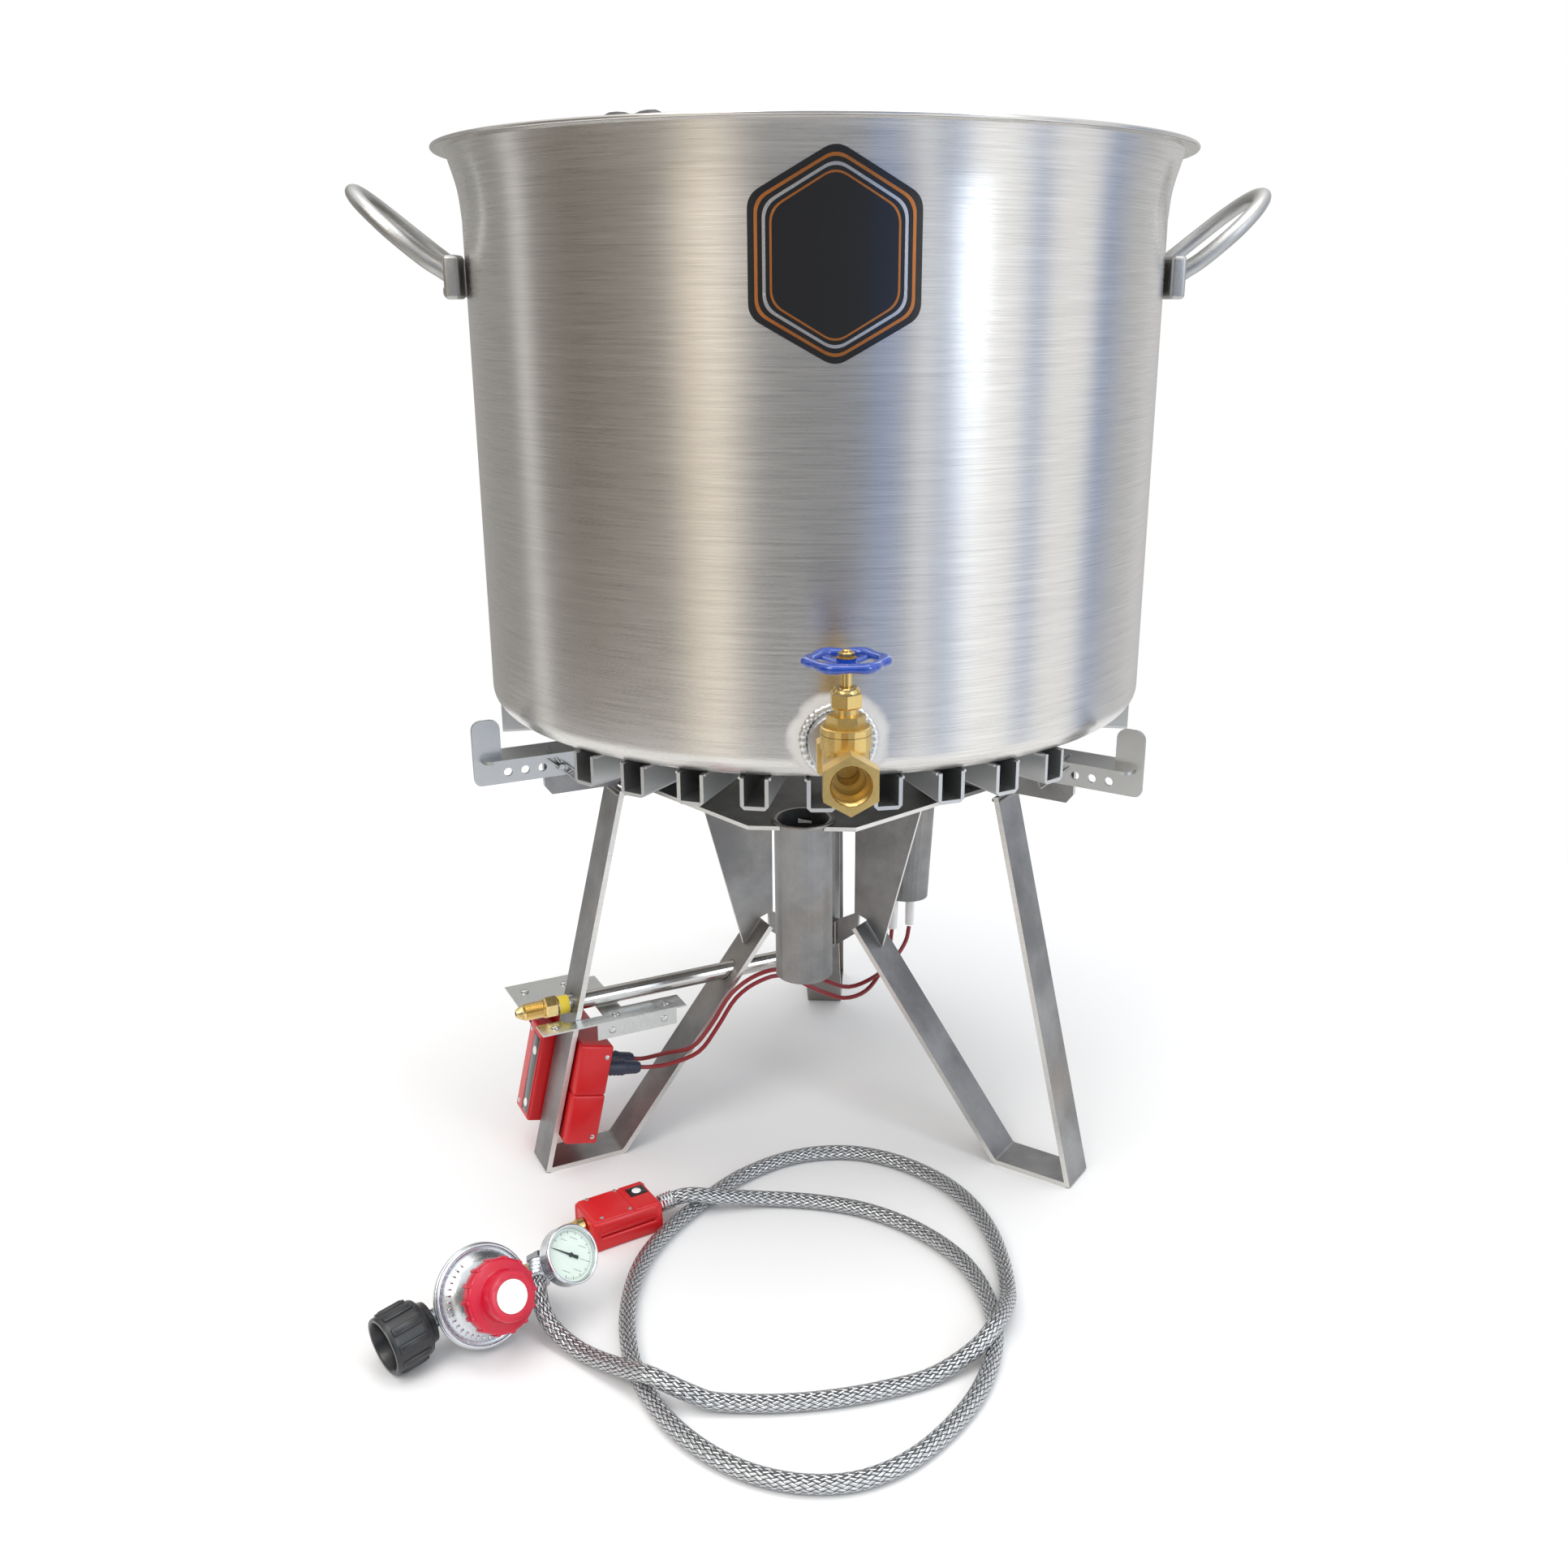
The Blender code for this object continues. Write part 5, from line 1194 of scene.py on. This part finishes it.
def build_gas_kit(settings):
    """The hose with the pieces on its end, then the regulator and its gauge."""
    hose = build_hose(settings)
    fitting = build_valve_box(settings)
    length = float(np.linalg.norm(np.diff(hose[1], axis=0), axis=1).sum())
    start = [float(c) for c in hose[1][0]]
    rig.cord(hose[0], exit=start, length=length, diameter=2 * settings.hose_radius, far_end="fitting",
            stiffness="medium", lay="loose", path=hose[1].tolist(), with_pieces=fitting)
    build_regulator(settings)
    build_gauge()


def evenly(points, count):
    """The same curve with its points evenly spaced along its length."""
    run = np.concatenate([[0], np.cumsum(np.linalg.norm(np.diff(points, axis=0), axis=1))])
    spots = np.linspace(0, run[-1], count)
    return np.stack([np.interp(spots, run, points[:, k]) for k in range(3)], -1)


def build_hose(settings):
    """A circle carried along the smoothed, evenly spaced route. Returns the hose and its path."""
    path = evenly(smooth(HOSE_ROUTE, 10) + np.array([0, 0, GROUND]), 520)
    length = float(np.linalg.norm(np.diff(path, axis=0), axis=1).sum())
    braid = braided("woven_steel", settings.braid, length, 12, 0.0078)
    obj = piece("braided_hose", [swept(path, round_section(settings.hose_radius, 16))], braid, "stand",
        "steel_braid", 60, replaces=["gas_hose"])
    return obj, path


def ferrule(radius, length):
    """A crimped sleeve: a tube with pressed rings."""
    rows = [(0, 0), (radius * 0.9, 0), (radius, 0.0008)]
    rows += [(radius * (1 - 0.09 * (k % 2)), 0.0008 + (length - 0.0016) * k / 8) for k in range(1, 9)]
    return revolved(rows + [(radius * 0.86, length), (0, length)], 40)


def build_valve_box(settings):
    """The in-line valve's red case, its window and button, its screws and its brass outlet."""
    here = lambda q: about_z(q, VALVE_BOX_TURN) + np.array([*VALVE_BOX, GROUND])
    red = moulded("valve_red", settings.red, 0.36, 800, 0.15)
    dark = moulded("valve_window", WINDOW_BLACK, 0.25, 600, 0.3)
    white = moulded("valve_white", OFF_WHITE, 0.32, 500)
    steel = plain_metal("valve_screws", SCREW_STEEL, 0.22)
    brass = plain_metal("outlet_brass", BRASS, 0.24, (90, 90, 10))
    x, y, top = 0.0325, 0.0212, 0.0285
    body = [soft_box((-x, -y, 0.0), (x, y, 0.0125), 0.0022),
        soft_box((-x + 0.0004, -y + 0.0004, 0.0122), (x - 0.0004, y - 0.0004, top - 0.001), 0.004)]
    body.append(soft_box((-x + 0.0022, -y + 0.0022, 0.018), (0.0068, y - 0.0022, top), 0.0016))
    body.append(soft_box((0.0076, -y + 0.0022, 0.018), (x - 0.0022, y - 0.0022, top), 0.0016))
    for i, j in ((-1, -1), (-1, 1), (1, -1), (1, 1)):
        lug = [(0, 0.0255), (0.004, 0.0255), (0.0044, 0.0245), (0.0046, 0.002), (0, 0.002)]
        body.append(moved(revolved(lug, 24), lambda q, a=i,
            b=j: q + np.array([a * (x - 0.0042), b * (y - 0.0042), 0])))
    body.append(soft_box((-x + 0.008, -y - 0.0003, 0.0165), (x - 0.004, -y + 0.001, 0.0178), 0.0004, 2))
    case = piece("valve_box_case", [moved(q, here) for q in body], red, "stand", "red_plastic",
        replaces=["valve_box"])
    window = soft_box((0.0118, -0.0008, top - 0.002), (0.0282, 0.0128, top + 0.0003), 0.0004, 2)
    glass = piece("valve_box_window", [moved(window, here)], dark, "stand", "black_plastic")
    cap = [(0, top + 0.0012), (0.0031, top + 0.0011), (0.004, top + 0.0005), (0.0042, top - 0.0028),
        (0, top - 0.0028)]
    cap = moved(revolved(cap, 32), lambda q: here(q + np.array([0.02, 0.006, 0])))
    button = piece("valve_box_cap", [cap], white, "valve_box_button", "white_plastic", replaces=["valve_box_button"])
    heads = [put(screw(0.0026, 0.0012), (i * (x - 0.0042), j * (y - 0.0042), 0.0255), (0, 0, 1),
        here) for i in (-1, 1) for j in (-1, 1)]
    heads += [put(screw(0.0018, 0.0007), (a, b, top), (0, 0, 1), here) for a,
        b in ((-0.022, -0.015), (0.004, -0.015), (-0.022, 0.0165), (0.004, 0.0165))]
    bolts = piece("valve_box_screws", heads, steel, "stand", "zinc_plate")
    rows = threads(0.007, 0.007, 0.0148, 0.0015, 0.0007,
        ([(0.0045, 0.0004), (0.0082, 0.0004), (0.0082, 0.0062)], [(0.0045, 0.015)]))
    outlet = put(revolved(rows, 40, ring=True), (-x - 0.0004, 0, 0.015), (-1, 0, 0), here)
    spout = piece("valve_box_spout", [outlet], brass, "stand", "brass", replaces=["valve_box_outlet"])
    return [case, glass, button, bolts, spout]


def build_regulator(settings):
    """The regulator's disc, neck, crimp, elbow and tank nut, each turned about its own axis."""
    zinc = plain_metal("regulator_zinc", (0.68, 0.71, 0.74), 0.26, (60, 60, 60), 0.0002, 0.14, 0.76, 1.12)
    chrome = plain_metal("fitting_chrome", (0.66, 0.68, 0.7), 0.13, (40, 40, 40), 0.00005, 0.06)
    brass = plain_metal("regulator_brass", BRASS, 0.24, (90, 90, 10))
    seat = along_axis(REGULATOR, REGULATOR_AXIS)
    disc = [(0, -0.03), (0.015, -0.03), (0.0165, -0.0292), (0.019, -0.0255), (0.0208, -0.013),
        (0.026, -0.0112)]
    disc += [(0.035, -0.008), (0.0372, -0.0074)] + arc((0.0378, -0.0008), 0.0016, -80, 90, 6)
    disc += arc((0.0372, 0.0022), 0.0018, 0, 120, 5) + [(0.0352, 0.0022), (0.034, 0.002), (0.0325, 0.0048),
        (0.029, 0.0066)]
    disc += [(0.0262, 0.0098), (0.0232, 0.016), (0.0226, 0.0205), (0.0215, 0.0212), (0.0065, 0.0212),
        (0.0065, 0.0395), (0, 0.0395)]
    parts = [moved(revolved(disc, 120), seat)]
    for k in range(26):
        turn = radians(22 + 9.0 * k)
        mark = soft_box((0.029, -0.0007, 0.0052), (0.0322, 0.0007, 0.0068), 0.0003, 2)
        parts.append(moved(mark, lambda q, a=turn: seat(about_z(q, a))))
    start = REGULATOR - REGULATOR_AXIS * 0.016
    neck = threads(0.0076, 0.024, 0.0395, 0.0016, 0.0008,
        ([(0, 0.0), (0.008, 0.0), (0.0084, 0.018), (0.0088, 0.0235)],
        [(0.0062, 0.04), (0.0062, 0.056), (0, 0.056)]))
    parts.append(moved(revolved(neck, 36), along_axis(start, NUT_AXIS)))
    first, second = np.array(HOSE_ROUTE[0]), np.array(HOSE_ROUTE[1])
    run = unit(second - first)
    crimp_start = first + np.array([0, 0, GROUND]) - run * 0.0172
    parts.append(moved(ferrule(0.0096, 0.0168), along_axis(crimp_start, run)))
    end = np.array(HOSE_ROUTE[-1]) + np.array([0, 0, GROUND])
    before = np.array(HOSE_ROUTE[-2]) + np.array([0, 0, GROUND])
    back = unit(before - end)
    piece("regulator_casting", parts, zinc, "stand", "zinc_plate", 40, replaces=["regulator_body"])
    sleeve = [moved(ferrule(0.008, 0.013), along_axis(end + back * 0.001, back))]
    piece("hose_end_sleeve", sleeve, chrome, "stand", "zinc_plate")
    elbow = np.array([TEE - run * 0.0105, TEE - run * 0.004, TEE, TEE + run * 0.006, crimp_start + run * 0.003])
    body = [swept(elbow, round_section(0.0088, 28), (0, 0, 1), [0.72, 0.98, 1.06, 1.0, 0.92])]
    stem = revolved([(0, -0.03), (0.0066, -0.03), (0.0066, -0.013), (0.0052, -0.011), (0, -0.011)], 28)
    body.append(moved(stem, along_axis(GAUGE, GAUGE_AXIS)))
    body.append(moved(slab(hexagon(0.015), -0.024, -0.015, 0.0008), along_axis(GAUGE, GAUGE_AXIS)))
    body.append(moved(slab(hexagon(0.0205), 0.0, 0.007, 0.0009), along_axis(crimp_start - run * 0.0072, run)))
    piece("gauge_elbow", body, chrome, "stand", "zinc_plate")
    link = TEE - start
    link_axis = link / np.linalg.norm(link)
    size = float(np.linalg.norm(link))
    nipple = [(0, 0.012), (0.0068, 0.012), (0.0068, size - 0.022), (0.0058, size - 0.021), (0.0058, size - 0.004),
        (0, size - 0.004)]
    piece("outlet_nipple", [moved(revolved(nipple, 28), along_axis(start, link_axis))], brass, "stand", "brass")
    build_knob(settings, seat)
    rubber = moulded("nut_black", (0.016, 0.017, 0.019), 0.34, 420, 0.1)
    bolt = along_axis(start + NUT_AXIS * 0.039, NUT_AXIS)
    hub = [(0.0112, 0.0002), (0.0158, 0.0002), (0.0166, 0.0035), (0.0176, 0.005), (0.0212, 0.0072),
        (0.022, 0.009), (0.0224, 0.013)]
    hub += [(0.0226, 0.033), (0.0228, 0.037), (0.0222, 0.0382), (0.0198, 0.0382), (0.018, 0.036),
        (0.0178, 0.014), (0.0112, 0.0122)]
    parts = [moved(revolved(hub, 72, ring=True), bolt)]
    for k in range(10):
        lug = soft_box((0.02, -0.0034, 0.011), (0.024, 0.0034, 0.0345), 0.0012, 3)
        rib = soft_box((0.0206, -0.0018, 0.013), (0.0246, 0.0018, 0.032), 0.0008, 2)
        for bit in (lug, rib):
            parts.append(moved(bit, lambda q, a=2 * pi * k / 10: bolt(about_z(q, a))))
    piece("tank_nut_grip", parts, rubber, "tank_nut", "black_plastic", 40, replaces=["tank_nut"])
    tip = [(0, 0.054), (0.0072, 0.054), (0.0072, 0.06), (0.0052, 0.061), (0.0056, 0.0655), (0.0042, 0.07),
        (0.0018, 0.0712), (0.0012, 0.069), (0, 0.069)]
    piece("inlet_nipple", [moved(revolved(tip, 32), along_axis(start, NUT_AXIS))], brass, "stand", "brass")


def build_knob(settings, seat):
    """A stepped knob with ribs round its skirt and a plain label disc."""
    crimson = moulded("knob_crimson", settings.knob, 0.3, 700, 0.2)
    rows = [(0, 0.042), (0.0072, 0.042), (0.0072, 0.0226), (0.0258, 0.0226), (0.0272, 0.0236), (0.0276, 0.025)]
    rows += [(0.0278, 0.033), (0.0272, 0.0343), (0.0258, 0.035), (0.0205, 0.0356), (0.019, 0.0366),
        (0.0186, 0.048)]
    rows += [(0.018, 0.0494), (0.0168, 0.05), (0.0128, 0.05), (0.0126, 0.0496), (0, 0.0496)]
    parts = [moved(revolved(rows, 96), seat)]
    for k in range(14):
        rib = soft_box((0.0262, -0.0016, 0.0226), (0.0288, 0.0016, 0.0346), 0.0006, 2)
        parts.append(moved(rib, lambda q, a=2 * pi * k / 14: seat(about_z(q, a))))
    for k in (0, 1, 5, 6, 10, 11):
        dash = soft_box((0.0149, -0.0024, 0.0494), (0.0155, 0.0024, 0.0504), 0.0002, 2)
        parts.append(moved(dash, lambda q, a=2 * pi * (k + 0.5) / 12: seat(about_z(q, a))))
    piece("knob_moulding", parts, crimson, "regulator_knob", "crimson_plastic", 40, replaces=["regulator_knob"])
    white = moulded("knob_label", (0.84, 0.86, 0.84), 0.36, 400)
    disc = revolved([(0, 0.0494), (0.0124, 0.0494), (0.0124, 0.0502), (0, 0.0502)], 48)
    piece("knob_label_disc", [moved(disc, seat)], white, "regulator_knob", "white_plastic")


def stroke(start, end, width, low, high):
    """A thin raised bar on the dial between two points of its face."""
    start, end = np.array(start, float), np.array(end, float)
    run = unit(end - start)
    side = np.array([-run[1], run[0]]) * width / 2
    return slab([start - side, end - side, end + side, start + side], low, high, width * 0.1)


DIGITS = {"0": "abcdef", "1": "bc", "2": "abged", "3": "abgcd", "4": "fgbc", "5": "afgcd", "6": "afgedc"}
BARS = {"a": (0, 2, 1, 2), "b": (1, 2, 1, 1), "c": (1, 1, 1, 0), "d": (0, 0, 1, 0), "e": (0, 0, 0, 1),
    "f": (0, 1, 0, 2), "g": (0, 1, 1, 1)}


def build_gauge():
    """A round gauge: a bright case, a pale dial with ticks and short dashes within them, and its needle."""
    seat = along_axis(GAUGE, GAUGE_AXIS)
    chrome = plain_metal("gauge_chrome", (0.72, 0.74, 0.76), 0.14, (40, 40, 40), 0.00005, 0.06)
    rim = 0.0232
    case = [(0, -0.011), (rim - 0.0048, -0.011), (rim - 0.0018, -0.0098), (rim - 0.0004, -0.007),
        (rim - 0.0004, 0.0018), (rim, 0.0026)]
    case += arc((rim - 0.0014, 0.0042), 0.0014, 0, 150, 6) + [(rim - 0.003, 0.0034), (rim - 0.003, 0.0004),
        (0, 0.0004)]
    piece("gauge_body", [moved(revolved(case, 96), seat)], chrome, "stand", "chrome", 45, replaces=["gauge_case"])
    pale = moulded("dial_face", (0.7, 0.8, 0.72), 0.42, 300)
    dial = revolved([(0, 0.0004), (rim - 0.0031, 0.0004), (rim - 0.0031, 0.001), (0, 0.001)], 72)
    piece("gauge_dial", [moved(dial, seat)], pale, "stand", "white_plastic")
    ink = moulded("dial_ink", (0.02, 0.03, 0.03), 0.5, 300)
    marks = []
    rest, sweep = radians(45), radians(270)
    for k in range(61):
        turn = rest - sweep * k / 60
        inner = 0.0172 if k % 5 else 0.016
        way = np.array([cos(turn), sin(turn)])
        marks.append(stroke(way * inner, way * 0.0186, 0.00022 if k % 5 else 0.0004, 0.001, 0.0011))
    for k in range(7):
        turn = rest - sweep * k / 6
        centre = 0.0132 * np.array([cos(turn), sin(turn)])
        word = str(k * 10)
        for spot, digit in enumerate(word):
            shift = (spot - len(word) / 2) * 0.0017
            for x0, y0, x1, y1 in (BARS[bar] for bar in DIGITS[digit]):
                # Both ends of a bar are laid on one slanting line, so a figure reads as a short dash.
                ends = [centre + (b - 1) * 0.0011 - (shift + a * 0.0011) for a, b in ((x0, y0), (x1, y1))]
                marks.append(stroke(ends[0], ends[1], 0.00026, 0.001, 0.0011))
    piece("gauge_marks", [moved(q, seat) for q in marks], ink, "stand", "black_plastic")
    c, t = cos(rest), sin(rest)
    blade = np.array([(-0.0068, -0.0012), (-0.006, -0.0014), (0.0, -0.0008), (0.016, -0.00015), (0.0165, 0),
        (0.016, 0.00015), (0.0, 0.0008), (-0.006, 0.0014), (-0.0068, 0.0012)])
    blade = blade @ np.array([[c, t], [-t, c]])
    hub = revolved([(0, 0.0012), (0.0017, 0.0012), (0.0017, 0.0026), (0.0012, 0.003), (0, 0.0031)], 24)
    needle = [moved(slab(blade, 0.0015, 0.0021, 0.0001), seat), moved(hub, seat)]
    piece("gauge_pointer", needle, ink, "gauge_needle", "black_plastic", replaces=["gauge_needle"])


# ---------------------------------------------------------------------------------------- the scene


def build_stage():
    """A pale floor, soft lamps and the camera."""
    scene = bpy.context.scene
    floor = bpy.data.meshes.new("floor")
    rim = circle(96, 1.25)
    floor.from_pydata([(x, y, GROUND) for x, y in rim.tolist()], [], [tuple(range(96))])
    look = Look("pale_floor", (0.86, 0.86, 0.86), 0.0, 0.85)
    look.set("Base Color", look.shade(look.noise(3, 2), 0.985, 1.0))
    floor.materials.append(look.done())
    ground = bpy.data.objects.new("floor", floor)
    scene.collection.objects.link(ground)
    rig.stage(ground)
    world = bpy.data.worlds.new("studio")
    scene.world = world
    world.use_nodes = True
    Sky(world).paint()
    lamps = [
        ("key", (-1.6, -2.4, 2.6), 1.8, 1.8, 44, (1.0, 0.97, 0.93)),
        ("fill", (2.4, -2.2, 1.6), 0.6, 2.2, 20, (0.8, 0.9, 1.0)),
        ("top", (0.2, 0.0, 3.2), 2.4, 2.4, 50, (1.0, 1.0, 1.0)),
    ]
    for name, spot, wide, tall, power, colour in lamps:
        light = bpy.data.lights.new(name, "AREA")
        light.shape, light.size, light.size_y = "RECTANGLE", wide, tall
        light.energy, light.color = power, colour
        lamp = bpy.data.objects.new(name, light)
        lamp.location = spot
        lamp.rotation_euler = (Vector((0, 0, 0)) - Vector(spot)).to_track_quat("-Z", "Y").to_euler()
        scene.collection.objects.link(lamp)
    data = bpy.data.cameras.new("camera")
    data.lens, data.sensor_width, data.shift_x = 34.47, 36, -0.0197
    camera = bpy.data.objects.new("camera", data)
    camera.location = (0, -1.35, 0.768 + GROUND)
    camera.rotation_euler = (radians(72), 0, 0)
    scene.collection.objects.link(camera)
    scene.camera = camera
    scene.view_settings.view_transform = "Standard"


class BREW_OT_stage(bpy.types.Operator):
    """Add the floor, the lamps and the camera"""

    bl_idname = "brew.stage"
    bl_label = "Stage"

    def execute(self, context):
        build_stage()
        return {"FINISHED"}


class BuildGroup:
    """What the other operators share: each runs its build function on its own settings."""

    def execute(self, context):
        self.build(getattr(context.scene, self.settings))
        return {"FINISHED"}


class BREW_OT_pot(BuildGroup, bpy.types.Operator):
    """Build the pot's wall, handles, welds and badge"""

    bl_idname, bl_label = "brew.pot", "Pot"
    build, settings = staticmethod(build_pot), "brew_pot"


class BREW_OT_valve(BuildGroup, bpy.types.Operator):
    """Build the drain valve, its stem and its hand wheel"""

    bl_idname, bl_label = "brew.valve", "Drain valve"
    build, settings = staticmethod(build_valve), "brew_valve"


class BREW_OT_basket(BuildGroup, bpy.types.Operator):
    """Build the perforated basket and its bail"""

    bl_idname, bl_label = "brew.basket", "Basket"
    build, settings = staticmethod(build_basket), "brew_basket"


class BREW_OT_stand(BuildGroup, bpy.types.Operator):
    """Finish the burner stand, its welds and clips"""

    bl_idname, bl_label = "brew.stand", "Stand"
    build, settings = staticmethod(build_stand), "brew_stand"


class BREW_OT_igniter(BuildGroup, bpy.types.Operator):
    """Build the igniter's cases, buttons and boots"""

    bl_idname, bl_label = "brew.igniter", "Igniter"
    build, settings = staticmethod(build_igniter), "brew_gas"


class BREW_OT_gas_kit(BuildGroup, bpy.types.Operator):
    """Build the hose, regulator, gauge and valve box"""

    bl_idname, bl_label = "brew.gas_kit", "Gas kit"
    build, settings = staticmethod(build_gas_kit), "brew_gas"


class BREW_PT_panel(bpy.types.Panel):
    """Lists the groups of pieces and their settings"""

    bl_label = "Brew kettle"
    bl_idname = "BREW_PT_panel"
    bl_space_type = "VIEW_3D"
    bl_region_type = "UI"
    bl_category = "Brew kettle"

    def draw(self, context):
        scene = context.scene
        for operator, settings in GROUPS:
            self.layout.operator(operator)
            for key in settings and getattr(scene, settings).bl_rna.properties.keys() or ():
                if key not in ("rna_type", "name"):
                    self.layout.prop(getattr(scene, settings), key)


GROUPS = (
    ("brew.stage", ""),
    ("brew.gas_kit", "brew_gas"),
    ("brew.pot", "brew_pot"),
    ("brew.valve", "brew_valve"),
    ("brew.basket", "brew_basket"),
    ("brew.stand", "brew_stand"),
    ("brew.igniter", "brew_gas"),
)
SETTINGS = {
    "brew_pot": PotSettings,
    "brew_valve": ValveSettings,
    "brew_basket": BasketSettings,
    "brew_stand": StandSettings,
    "brew_gas": GasSettings,
}
OPERATORS = (BREW_OT_stage, BREW_OT_gas_kit, BREW_OT_pot, BREW_OT_valve, BREW_OT_basket, BREW_OT_stand,
    BREW_OT_igniter)
CLASSES = (*SETTINGS.values(), *OPERATORS, BREW_PT_panel)


def register():
    for item in CLASSES:
        bpy.utils.register_class(item)
    for name, kind in SETTINGS.items():
        setattr(bpy.types.Scene, name, bpy.props.PointerProperty(type=kind))


def unregister():
    for name in SETTINGS:
        delattr(bpy.types.Scene, name)
    for item in reversed(CLASSES):
        bpy.utils.unregister_class(item)


def main():
    register()
    bpy.ops.brew.stage()
    bpy.ops.brew.gas_kit()
    bpy.ops.brew.pot()
    bpy.ops.brew.valve()
    bpy.ops.brew.basket()
    bpy.ops.brew.stand()
    bpy.ops.brew.igniter()
    sizes = {"cad_box": CAD_BOX, "visual_box": [list(corner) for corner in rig.bounds()]}
    with open("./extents.json", "w") as out:
        json.dump(sizes, out)


if __name__ == "__main__":
    main()
